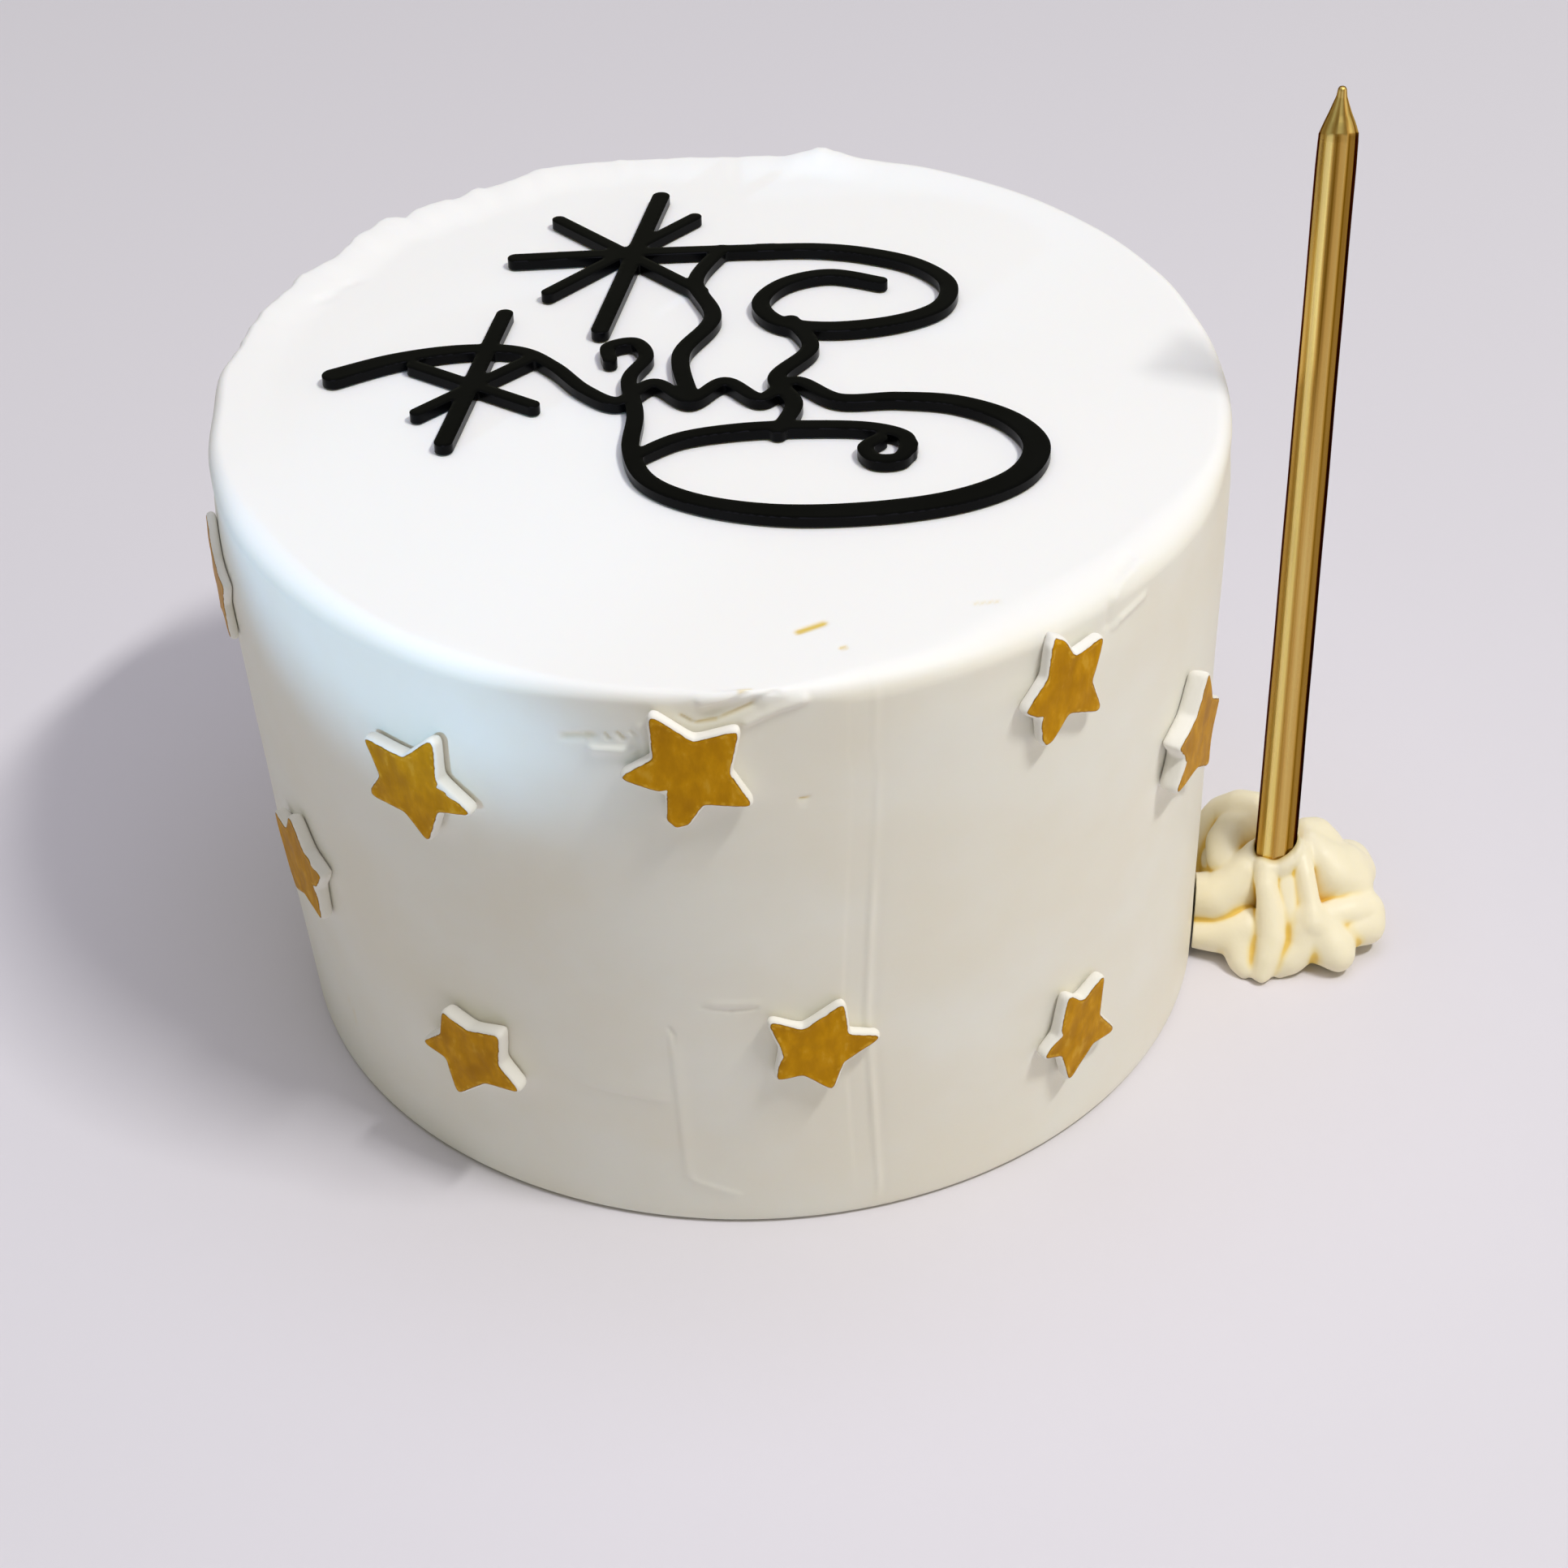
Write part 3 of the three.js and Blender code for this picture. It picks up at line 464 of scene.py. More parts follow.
def side_relief(azimuth, climb):
    """Marks, a seam with a shallow band left of it, and three slow sines of unrelated periods."""
    rise, butter = line_marks(azimuth, climb, SIDE_MARKS, MM_PER_DEGREE)
    off = (azimuth - np.interp(climb, SEAM[:, 0], SEAM[:, 1])) * MM_PER_DEGREE
    band = ease(off, -4.0, -3.5) * (1 - ease(off, -0.9, -0.3)) * ease(climb, 4, 14)
    line = np.exp(-((off / 0.4) ** 2)) - 0.7 * np.exp(-(((off - 1.1) / 0.8) ** 2))
    fresh = 1 - 0.65 * ease(climb, 55, 80)
    line = line * fresh * (1 + 0.3 * np.sin(climb / 3.1)) * (1 - ease(climb, 101, 104))
    rise = rise - BAND_DEPTH * band * fresh + SEAM_RIDGE * line
    waves = 0.10 * np.sin(np.radians(3 * azimuth + 20)) * np.sin(np.pi * climb / CAKE_HEIGHT)
    waves = waves + 0.05 * np.sin(np.radians(7 * azimuth - 40) + climb / 17)
    waves = waves + 0.025 * np.sin(climb / 3.9 + 2 * np.sin(np.radians(2 * azimuth)))
    return rise + waves, butter


print("relief at the seam, half way up:", side_relief(13.5, 52.0)[0])

# %% [markdown]
# ## Laying the grid over the cake
# Columns and rows stand closer together where the marks are. The rows climb the side, go
# round the edge and run in over the top. A running length called climb goes with them, so that
# a mark can pass from the side onto the edge. Each point is moved along its outward direction
# by the relief.

# %% Columns, rows and the side
# Azimuths where a stretch of columns begins and ends, and the step between them.
COLUMNS = [
    (-180, -96, 1.0), (-96, -20, 0.8), (-20, 18, 0.26), (18, 53, 0.4), (53, 96, 0.8),
    (96, 180, 1.0),
]
# Height where a stretch of rows begins, and how many rows it holds.
ROWS = np.array([
    (1.2, 3), (5.5, 12), (9.5, 8), (25, 9), (28, 6), (39, 20), (47, 17), (83.5, 7), (86, 4),
    (90, 34), (101, 0),
])
azimuths = np.concatenate([np.arange(*stretch) for stretch in COLUMNS])
width = edge_width(azimuths)
drop = np.minimum(width, EDGE_DROP)
# The far rim is ragged: the height of its lip and its outline both change from degree to degree.
jagged = ease(-azimuths, 92, 110) + ease(azimuths, 150, 168)
lip = around(LIP_HEIGHT, azimuths) * (1 + 0.35 * jagged * uneven(azimuths, 1.5, 3))
ragged = 0.35 * jagged * uneven(azimuths, 1.1, 5)

foot = np.radians(np.linspace(0, 90, 5))[:-1, None]
foot_rings = side_point(
    azimuths[None], FOOT_ROUND * (1 - np.cos(foot)), FOOT_ROUND * (np.sin(foot) - 1)
)
row_starts = np.concatenate([[0], np.cumsum(ROWS[:-1, 1])])
row_heights = np.interp(np.arange(row_starts[-1] + 1), row_starts, ROWS[:, 0])
climbs = ((row_heights - ROWS[0, 0]) / (ROWS[-1, 0] - ROWS[0, 0]))[:, None]
side_z = FOOT_ROUND + (CAKE_HEIGHT - drop - FOOT_ROUND) * climbs
rise, side_butter = side_relief(azimuths, side_z)
rise = rise * ease(side_z, FOOT_ROUND, 6)
radius_z = side_z + drop * ease(side_z, 92, CAKE_HEIGHT - drop)
near_rim = ease(side_z, 96, CAKE_HEIGHT - drop)
side_rings = side_point(azimuths, side_z, rise + ragged * near_rim, radius_z)
print("columns:", len(azimuths), "rows up the side:", len(side_rings))

# %% Round the edge
bend = np.radians(np.linspace(0, 90, 13))[1:, None]
edge_climb = CAKE_HEIGHT - drop + (drop + width) * 0.8 * (bend / np.radians(90))
rise, edge_butter = side_relief(azimuths, edge_climb)
rise = rise * (1 - ease(bend, 1.2, 1.57))
edge_out = width * (np.cos(bend) - 1) + (rise + ragged) * np.cos(bend)
edge_z = CAKE_HEIGHT - drop + (drop + lip) * np.sin(bend)
edge_rings = side_point(azimuths, edge_z, edge_out, CAKE_HEIGHT)
edge_rings[..., 2] = edge_z + rise * np.sin(bend)
print("highest point of the edge:", edge_rings[..., 2].max())

# %% In over the top
share = np.linspace(0, 1, 15)[1:, None]
lip_z = CAKE_HEIGHT + lip * (1 - ease(share, 0, 1))
lip_rings = side_point(azimuths, lip_z, -width - LIP_WIDTH * share, CAKE_HEIGHT)
lip_rings[..., 2] = lip_z
inner = np.concatenate([np.linspace(1, 0.9, 13)[1:], np.linspace(0.9, 0, 14)[1:-1]])
top_middle = np.array([LEAN_X, 0, CAKE_HEIGHT])
top_rings = top_middle + inner[:, None, None] * (lip_rings[-1] - top_middle)
top_rings = np.concatenate([lip_rings, top_rings])
rise, top_butter = line_marks(top_rings[..., 0], top_rings[..., 1], TOP_MARKS, 1)
swirl = np.sin(top_rings[..., 0] / 9 + 1.5 * np.sin(top_rings[..., 1] / 23))
far_out = np.hypot(top_rings[..., 0], top_rings[..., 1])
top_rings[..., 2] += rise + 0.03 * swirl * ease(far_out, 0, 30)

cake_rings = np.concatenate([foot_rings, side_rings, edge_rings, top_rings])
butter = np.concatenate([0 * foot_rings[..., 0], side_butter, edge_butter, top_butter])
points, quads, fans = closed_rings([0, 0, 0], cake_rings, top_middle)
add_piece(
    "iced_cake", points, quads, fans, "cake", "icing", icing, butter=capped(0, butter, 0)
)

# %% [markdown]
# ## The stars' finish
# Each star is cut from white fondant and pressed on, and then its face alone is brushed with
# edible gold. The paint stops a hair short of the edge, so a thin white rim stays. One finish
# can do both: an attribute says how far a point lies inside the outline, and where that is more
# than a wobbly limit, the finish turns from icing to gold. Brush strokes are fine noise. The paint
# dries dark along its very border and is thick and light just inside, where the brush was turned.

# %% Gold paint over fondant
star_finish, shader, place = new_finish("gold_paint", Specular_IOR_Level=0.06)
depth = place.carried("inside")
wobble = grain(place, 1.1, 3.0)
painted = (depth + (wobble - 0.5) * 0.3).step(0.3, 0.4)
brush = grain(place, 1.8, 6.0, (1.0, 1.0, 0.5))
patchy = grain(place, 7.0, 2.0)
gold = brush.step(0.35, 0.65).blend(colour("bc8506"), colour("cd940a"))
gold = (patchy.step(0.5, 0.75) * 0.6).blend(gold, colour("a06c04"))
gold = (brush.step(0.58, 0.72) * 0.35).blend(gold, colour("e2b545"))
border = depth.step(0.45, 0.6) - depth.step(0.8, 1.2)
gold = (border * wobble.step(0.45, 0.7) * 0.7).blend(gold, colour("e0b13c"))
line = 1 - depth.step(0.36, 0.52)
gold = (line * 0.8).blend(gold, colour("6e4806"))
# Painted shade: a tan line where the wall of some stars meets the icing.
foot = place.carried("foot")
fondant = foot.blend(colour("f5f2ea"), colour("c9ae86"))
painted.blend(fondant, gold).to(shader, "Base Color")
(painted * 0.22).to(shader, "Metallic")
(0.55 - painted * 0.16 + brush * 0.08).to(shader, "Roughness")
relief(brush * 0.7 + grain(place, 2.6, 2.0) * 0.3, 0.22).to(shader, "Normal")
print("gold paint's nodes:", len(star_finish.node_tree.nodes))

# %% [markdown]
# ## Star shapes
# A star is five arms with blunt ends and five notches. Twenty corners say where they are, and
# passing them through a circular blur rounds the outline the way fondant rounds when it is cut.
# A lightly blurred outline makes the face. A more blurred one, moved outwards, makes the skirt of
# icing that creeps up round the star, steep at the wall and level at its foot.

# %% Stars: azimuth, height, thickness, arm directions and lengths, notch directions and radii
STARS = [
    (-35.1, 80.2, 2.4, (26, 98, 172, 239, 304), (11.5, 10.1, 9.9, 10.4, 9.9),
     (60, 127, 203, 265, 351), (5.9, 5.5, 6.4, 6.4, 5.5)),
    (-4.2, 91.9, 2.1, (-25, 43, 125, 194, 263), (11.4, 10.5, 10.4, 10.5, 10.0),
     (9, 88, 163, 223, 297), (6.3, 5.9, 6.0, 5.4, 5.9)),
    (36.2, 93.1, 2.0, (-9, 53, 135, 203, 263), (9.6, 9.4, 9.8, 9.5, 7.7),
     (20, 99, 172, 238, 313), (5.6, 5.4, 4.9, 5.9, 5.1)),
    (61.0, 65.2, 3.1, (6, 81, 154, 232, 287), (10.9, 8.3, 10.1, 10.3, 8.7),
     (46, 110, 187, 262, 330), (6.0, 6.1, 6.4, 6.1, 5.9)),
    (-60.5, 45.5, 2.1, (0, 72, 152, 208, 308), (9.6, 8.3, 9.7, 9.1, 9.4),
     (36, 108, 182, 252, 334), (5.8, 5.6, 6.5, 6.4, 6.3)),
    (-33.5, 28.6, 2.8, (-27, 44, 115, 199, 260), (8.3, 9.5, 9.8, 10.3, 9.1),
     (8, 86, 152, 237, 293), (5.8, 6.0, 5.7, 5.8, 5.6)),
    (7.3, 38.1, 1.9, (25, 86, 168, 229, 311), (9.5, 9.6, 8.9, 8.7, 9.5),
     (63, 131, 206, 276, 336), (5.5, 5.3, 5.8, 5.8, 5.2)),
    (40.4, 24.4, 2.2, (-19, 30, 124, 191, 257), (9.1, 9.6, 9.8, 10.0, 7.9),
     (1, 85, 149, 229, 285), (6.3, 4.6, 6.2, 5.5, 5.0)),
    (-76.5, 85.2, 1.3, (-8, 66, 140, 210, 282), (11.3, 9.0, 9.6, 10.2, 9.0),
     (28, 104, 176, 246, 318), (5.6, 5.5, 5.7, 5.6, 5.5)),
    (127.0, 86.5, 3.1, (10, 82, 152, 226, 300), (10.1, 9.4, 9.9, 9.5, 9.3),
     (44, 118, 190, 262, 336), (5.6, 5.3, 5.7, 5.5, 5.4)),
    (165.0, 80.5, 3.0, (-12, 60, 134, 204, 274), (9.9, 9.7, 9.4, 10.2, 9.1),
     (22, 98, 168, 240, 312), (5.7, 5.5, 5.9, 5.6, 5.4)),
    (-157.0, 85.0, 3.2, (20, 90, 162, 236, 308), (10.3, 9.2, 9.8, 9.6, 9.2),
     (56, 124, 200, 270, 346), (5.4, 5.7, 5.3, 5.6, 5.5)),
    (-120.0, 82.5, 2.9, (-5, 68, 142, 214, 284), (9.8, 9.6, 10.0, 9.4, 9.4),
     (30, 106, 178, 250, 320), (5.6, 5.8, 5.4, 5.5, 5.7)),
    (146.0, 56.0, 3.0, (28, 96, 170, 242, 316), (10.0, 9.5, 9.7, 9.8, 9.1),
     (60, 134, 206, 278, 352), (5.3, 5.6, 5.5, 5.2, 5.6)),
    (-139.5, 53.0, 3.3, (-18, 52, 128, 196, 268), (10.1, 9.3, 9.9, 9.6, 9.4),
     (18, 88, 162, 234, 304), (5.5, 5.4, 5.8, 5.6, 5.3)),
    (120.5, 29.0, 2.8, (6, 80, 150, 220, 296), (9.7, 9.4, 10.1, 9.4, 9.2),
     (42, 116, 184, 258, 332), (5.4, 5.7, 5.5, 5.6, 5.2)),
    (176.5, 34.5, 3.1, (-26, 44, 118, 192, 262), (9.9, 9.6, 9.5, 10.1, 9.0),
     (8, 82, 156, 226, 300), (5.6, 5.3, 5.6, 5.7, 5.5)),
    (-117.0, 27.5, 2.9, (14, 84, 158, 230, 304), (10.0, 9.2, 9.8, 9.7, 9.4),
     (50, 120, 196, 266, 340), (5.4, 5.6, 5.2, 5.5, 5.7)),
]
print("stars:", len(STARS))

# %% How the stars are cut, pressed on and painted
STAR_TIP_ROUND = 0.8
# Arms with a broad round end: star number and arm, and half the width of that end.
BLUNT_ARMS = {(2, 3): 1.9, (3, 0): 1.5, (3, 3): 1.2, (1, 3): 1.1}
STAR_GAP = 0.3
STAR_EDGE = 0.55
# How softly the face and the skirt are rounded, and how far out the skirt reaches.
FACE_SOFTNESS = 0.33
SKIRT_SOFTNESS = 1.15
SKIRT_REACH = 1.6
# Low ridge of paste pushed up by the cutter: height, how far inside the outline, and width.
RIDGE_RISE = 0.06
RIDGE_INSIDE = 0.7
RIDGE_WIDTH = 0.28
# A star near the rim follows the rounded edge back this far at most.
STAR_MAX_FALL = 1.5
# Nicks in the paint: star number, direction, how deep in mm, how wide in degrees.
PAINT_NICKS = [
    (1, 70, 0.9, 5), (1, 82, 0.5, 4), (2, 228, 0.8, 5), (5, 110, 0.8, 7), (5, 60, 0.5, 5),
    (4, 250, 0.7, 6), (7, 262, 0.4, 9), (8, 285, 0.5, 8), (3, 238, 0.5, 6),
]
# Stars with a painted shadow line where their wall meets the icing, and its direction.
FOOT_SHADE_LINES = {1: 75, 5: 60, 6: 80}
# Share of the wall's height, millimetres added, share of the way out to the skirt.
STAR_WALL = [
    (0.0, -0.5, 1.0), (0.0, 0.0, 0.97), (0.015, 0.0, 0.82), (0.045, 0.0, 0.64), (0.09, 0.0, 0.47),
    (0.16, 0.0, 0.32), (0.26, 0.0, 0.19), (0.4, 0.0, 0.09), (0.58, 0.0, 0.03), (0.78, 0.0, 0.0),
    (1.0, 0.0, 0.0),
]
FACE_SHARES = [
    0.988, 0.97, 0.95, 0.925, 0.895, 0.86, 0.82, 0.76, 0.68, 0.58, 0.46, 0.33, 0.2, 0.08,
]
print("rings of a star:", len(STAR_WALL) + len(FACE_SHARES))


# %% Outline of a star
def star_corners(number, arms, reaches, turns, radii):
    """Twenty corners as (across, up): each arm's blunt end in three points, then a notch."""
    facing = np.radians(np.array(arms, float))
    along = np.stack([np.sin(facing), np.cos(facing)], -1)
    across = np.stack([np.cos(facing), -np.sin(facing)], -1)
    reach = np.array(reaches)[:, None]
    between = np.radians(np.array(turns, float))
    dip = np.array(radii)[:, None] * np.stack([np.sin(between), np.cos(between)], -1)
    end = np.array([[BLUNT_ARMS.get((number, arm), STAR_TIP_ROUND)] for arm in range(5)])
    left = (reach - 0.7 * end) * along - end * across
    right = (reach - 0.7 * end) * along + end * across
    return np.stack([left, reach * along, right, dip], 1).reshape(-1, 2)


def blurred_outline(corners, softness, count=200):
    """Closed outline walked at even steps and blurred with a round bell of a width in mm."""
    loop = np.vstack([corners, corners[:1]])
    walked = walked_along(loop)
    at = np.linspace(0, walked[-1], count, endpoint=False)
    outline = np.stack([np.interp(at, walked, loop[:, 0]), np.interp(at, walked, loop[:, 1])], -1)
    frequency = np.fft.fftfreq(count, walked[-1] / count)
    keep = np.exp(-2 * (np.pi * frequency * softness) ** 2)
    return np.fft.ifft(np.fft.fft(outline, axis=0) * keep[:, None], axis=0).real


def moved_out(outline, distance):
    """Outline shifted outwards along its normals, which are the tangents turned by 90 degrees."""
    tangent = np.roll(outline, -1, 0) - np.roll(outline, 1, 0)
    normal = np.stack([-tangent[:, 1], tangent[:, 0]], -1)
    return outline + distance * normal / np.hypot(*normal.T)[:, None]


def depth_within(points, outline):
    """Distance of every point to the nearest stretch of the outline, by dropping it on each."""
    start, step = outline, np.roll(outline, -1, 0) - outline
    to = points[..., None, :] - start
    share = np.clip((to * step).sum(-1) / (step ** 2).sum(-1), 0, 1)
    return np.linalg.norm(to - share[..., None] * step, axis=-1).min(-1)


print("corners of the first star:", star_corners(1, *STARS[0][3:]).shape)

# %% [markdown]
# ## Each star on its place
# A star is built flat, in rings that run up the skirt, over the edge and in towards the middle.
# How far a point of the face really lies from the outline sets the soft edge. Then the rings are
# wrapped round the cake's side, where the star stands at its azimuth and height, sinks a little
# into every dent of the icing, and tips back with the rounded edge if it reaches up to it.

# %% Star, from flat rings to its place
def star_rings(number, proud, outline, skirt):
    """Flat rings, how far each point stands out, how far inside the outline, and painted foot
    shade.
    """
    wall = np.array([mix(outline, skirt, part) for _, _, part in STAR_WALL])
    wall_rise = np.array([share * (proud - STAR_EDGE) + extra for share, extra, _ in STAR_WALL])
    wall_rise = wall_rise[:, None]
    face = outline * np.array(FACE_SHARES)[:, None, None]
    depth = depth_within(face, outline)
    # the edge is a quarter circle, and a low ridge runs just inside it
    steep = np.clip(1 - depth / (STAR_EDGE + 0.05), 0, 1)
    ridge = RIDGE_RISE * np.exp(-(((depth - RIDGE_INSIDE) / RIDGE_WIDTH) ** 2))
    face_rise = proud - STAR_EDGE * (1 - np.sqrt(1 - steep ** 2)) + ridge
    rings = np.concatenate([wall, face])
    rise = np.concatenate([wall_rise + 0 * wall[..., 0], face_rise])
    inside = np.concatenate([wall_rise + 0 * wall[..., 0] - proud, depth])
    direction = np.degrees(np.arctan2(outline[:, 0], outline[:, 1])) % 360
    for star, toward, deep, wide in PAINT_NICKS:
        if star == number:
            off = turned_from(toward, direction)
            inside = inside - deep * np.exp(-((off / wide) ** 2))
    # Painted shade along the foot of the wall, on one side of the star.
    off = turned_from(FOOT_SHADE_LINES.get(number, 0), direction)
    foot = (number in FOOT_SHADE_LINES) * (1 - ease(np.abs(off), 50, 75)) * (rise < 0.15) * 0.8
    return rings, rise, inside, foot


def make_star(number, azimuth, height, thickness, arms, reaches, turns, radii):
    """Flat rings bent round the cake's side: across becomes a turn, and rise goes outwards."""
    corners = star_corners(number, arms, reaches, turns, radii)[::-1]
    outline = blurred_outline(corners, FACE_SOFTNESS)
    skirt = moved_out(blurred_outline(corners, SKIRT_SOFTNESS), SKIRT_REACH)
    proud = thickness + STAR_GAP
    rings, rise, inside, foot = star_rings(number, proud, outline, skirt)
    across, up = rings[..., 0], rings[..., 1]
    z = height + up
    turn = azimuth + np.degrees(across / (side_radius(azimuth, height) + rise))
    climb_share = np.clip((z - CAKE_HEIGHT) / np.minimum(edge_width(turn), EDGE_DROP) + 1, 0, 0.95)
    fall = edge_width(turn) * (1 - np.sqrt(1 - climb_share ** 2))
    raised = ease(rise / proud, 0, 0.5)
    settle = side_relief(turn, z)[0] * (1 - raised)
    stone = 0.06 * np.sin(across * 0.9 + number) * np.sin(up * 0.7 + 2 * number) * raised
    out = rise + settle + stone - mix(fall, np.minimum(fall, STAR_MAX_FALL), raised)
    points, quads, fans = closed_rings(
        side_point(azimuth, height, -0.5), side_point(turn, z, out),
        side_point(azimuth, height, proud),
    )
    return add_piece(
        f"fondant_star_{number:02d}", points, quads, fans, f"star_{number:02d}", "gold_paint",
        star_finish, inside=capped(-2, inside, 6), foot=capped(0, foot, 0),
    )


for number, star in enumerate(STARS, 1):
    make_star(number, *star)

# %% [markdown]
# ## The ornament on top
# The black ornament is cut from one thin sheet of acrylic, as a design of joined strokes whose
# width swells and thins. Overlapping bars would leave faces inside each other, so the strokes
# are first turned into a height map of distance to the nearest outline. Cells of a fine grid
# that lie inside are kept, and the points on their border are slid onto the outline.

# %% Strokes of the ornament: points along each stroke, and widths spaced evenly along it
TOPPER_THICKNESS = 1.6
TOPPER_GAP = 0.3
# How far the sheet's upper edge drops, and how far a border point slides at most, in cells.
CUT_EDGE_DROP = 0.12
MOST_SLIDE = 0.72
# How sharply strokes meet.
STROKE_SHARPNESS = 6
TOPPER_MIDDLE = (LEAN_X, -2.4)
STROKES = [
    # sparkle at the upper left
    ([(-8.9, 61.9), (-18.4, 19.3)], [2.9, 2.9]),
    ([(-32.3, 42.6), (-12, 43.4), (9, 43.6)], [2.7, 2.4]),
    ([(-25.6, 55.0), (-2.6, 30.4)], [2.3, 2.3]),
    ([(-26.8, 31.4), (-3.4, 54.6)], [2.3, 2.3]),
    # upper flourish, curling inwards
    ([(7, 43.6), (16, 43.3), (24, 41.4), (32, 37.2), (36.6, 30.6), (35, 23.6), (28, 19.4),
      (18, 17.9), (9.8, 20), (6.8, 26), (10.6, 32.2), (18, 34.8), (26, 31.9)],
     [2.4, 2.6, 2.8, 3.0, 3.2, 3.0, 2.6, 2.3]),
    # bending tendrils that tie the upper and lower halves
    ([(0.9, 43.6), (-3.4, 33.5), (-0.8, 22), (-5.8, 11), (-4.6, -0.8)], [2.5, 2.7, 2.9, 2.7]),
    ([(11.4, 20.4), (14.2, 12), (8.8, 3.4), (11.2, -4.4), (8.6, -11.6)], [2.8, 2.7, 2.9, 2.6]),
    # sparkle at the lower left
    ([(-33.5, 25.0), (-41.4, -12.3)], [2.7, 2.9]),
    ([(-45.8, -3.6), (-29.0, 11.2)], [2.3, 2.3]),
    ([(-47.0, 10.2), (-28.4, -2.4)], [2.3, 2.3]),
    # left sweep, running on as a wave into the big lower flourish, which ends in a small hook
    ([(-59.2, 7.9), (-50, 12.2), (-40, 14.4), (-31, 13.6), (-25.4, 8.6), (-20.6, 1.6),
      (-15.4, -2.2), (-10, 2.8), (-4.6, -2.2), (0.8, 2.6), (6.2, -2.4), (11.6, 2.2), (18, -3.2),
      (27, -3.4), (36, -5.2), (43.6, -10.6), (46.8, -18.2), (43.6, -26), (35, -31.4),
      (23, -34.0), (9, -34.0), (-3, -30.6), (-10.8, -24.6), (-13.4, -16), (-12.8, -6),
      (-13.8, 4), (-11.2, 10.6), (-13.0, 15.2), (-17, 14.0), (-16.8, 10.2)],
     [3.7, 3.1, 2.4, 2.4, 2.4, 2.4, 2.4, 2.6, 3.3, 4.1, 4.2, 4.1, 3.8, 3.2, 2.8, 2.6, 2.4, 2.3]),
    # inner curl
    ([(-12.4, -17.4), (-6, -12.9), (3, -10.9), (13, -10.7), (22, -11.6), (27.2, -14.2),
      (27.8, -18.2)], [2.4, 2.6, 2.7, 2.6, 2.5]),
    ([(28.0, -16.8), (26.4, -20.3), (22.8, -20.4), (21.4, -17.4), (23.6, -14.9)],
     [2.5, 2.5, 2.4]),
]
print("strokes:", len(STROKES))


# %% How deep a point lies in a stroke
def smooth_path(path, per_part=16):
    """Cubic through every point; at each one the slope is half the step between its neighbours."""
    p = np.array(path, float)
    t = np.linspace(0, 1, per_part, endpoint=False)[None, :, None]
    before, after = np.vstack([p[:1], p[:-2]])[:, None], np.vstack([p[2:], p[-1:]])[:, None]
    a, b = p[:-1, None], p[1:, None]
    start, end = (b - before) / 2, (after - a) / 2
    cubic = (2 * a - 2 * b + start + end) * t ** 3 + (-3 * a + 3 * b - 2 * start - end) * t ** 2
    return np.vstack([(cubic + start * t + a).reshape(-1, p.shape[1]), p[-1:]])


def stroke_depth(x, y, path, widths):
    """Depth inside a stroke: half width less distance to its line, the most over all its parts."""
    line = smooth_path(path)
    walked = walked_along(line)
    half = np.interp(walked / walked[-1], np.linspace(0, 1, len(widths)), widths) / 2
    best = np.full(x.shape, -50.0)
    for (ax, ay), (bx, by), low, high in zip(line[:-1], line[1:], half[:-1], half[1:]):
        near = (abs(x - (ax + bx) / 2) < 5) & (abs(y - (ay + by) / 2) < 5)
        px, py = x[near] - ax, y[near] - ay
        length = (bx - ax) ** 2 + (by - ay) ** 2
        share = np.clip((px * (bx - ax) + py * (by - ay)) / length, 0, 1)
        away = np.hypot(px - share * (bx - ax), py - share * (by - ay))
        best[near] = np.maximum(best[near], mix(low, high, share) - away)
    return best


CELL = 0.32
grid_x, grid_y = np.meshgrid(np.arange(-62.5, 52, CELL), np.arange(-38.5, 65.5, CELL))
depths = np.array([stroke_depth(grid_x, grid_y, *stroke) for stroke in STROKES])
ornament_depth = blend_most(depths, STROKE_SHARPNESS)
print("ornament grid:", ornament_depth.shape, "deepest point:", ornament_depth.max())

# %% [markdown]
# ## From the height map to a cut sheet
# A cell is kept when its middle is inside. Its border points slide down the slope of the map
# until the depth is nought, which gives a clean outline. The upper face drops by a hair there,
# like the edge that a laser leaves, and a wall joins the upper and the lower face.

# %% Cut sheet
def cut_sheet(depth, cell, x, y, thickness):
    """Top and bottom faces over the kept cells and a wall along every edge used only once."""
    middle = (depth[:-1, :-1] + depth[1:, :-1] + depth[:-1, 1:] + depth[1:, 1:]) / 4
    rows, columns = np.nonzero(middle > 0)
    wide = depth.shape[1]
    corner = rows * wide + columns
    quads = np.stack([corner, corner + 1, corner + 1 + wide, corner + wide], -1)
    used, quads = np.unique(quads, return_inverse=True)
    quads = quads.reshape(-1, 4)
    edges = np.stack([quads, np.roll(quads, -1, 1)], -1).reshape(-1, 2)
    key = np.sort(edges, 1) @ [len(used), 1]
    _, first, times = np.unique(key, return_index=True, return_counts=True)
    border = edges[first[times == 1]]
    slope_y, slope_x = np.gradient(depth, cell)
    at = np.stack([x.ravel()[used], y.ravel()[used]], -1)
    slope = np.stack([slope_x.ravel()[used], slope_y.ravel()[used]], -1)
    level = depth.ravel()[used]
    rim = np.unique(border)
    push = level[rim, None] * slope[rim] / np.maximum((slope[rim] ** 2).sum(1), 0.3)[:, None]
    push *= np.minimum(1, MOST_SLIDE * cell / np.maximum(np.hypot(*push.T), 1e-6))[:, None]
    at[rim] -= push
    high = np.full(len(used), thickness)
    high[rim] -= CUT_EDGE_DROP
    top = np.column_stack([at, high])
    bottom = np.column_stack([at, np.zeros(len(used))])
    a, b = border.T
    wall = np.stack([a, a + len(used), b + len(used), b], -1)
    return np.vstack([top, bottom]), np.vstack([quads, quads[:, ::-1] + len(used), wall])


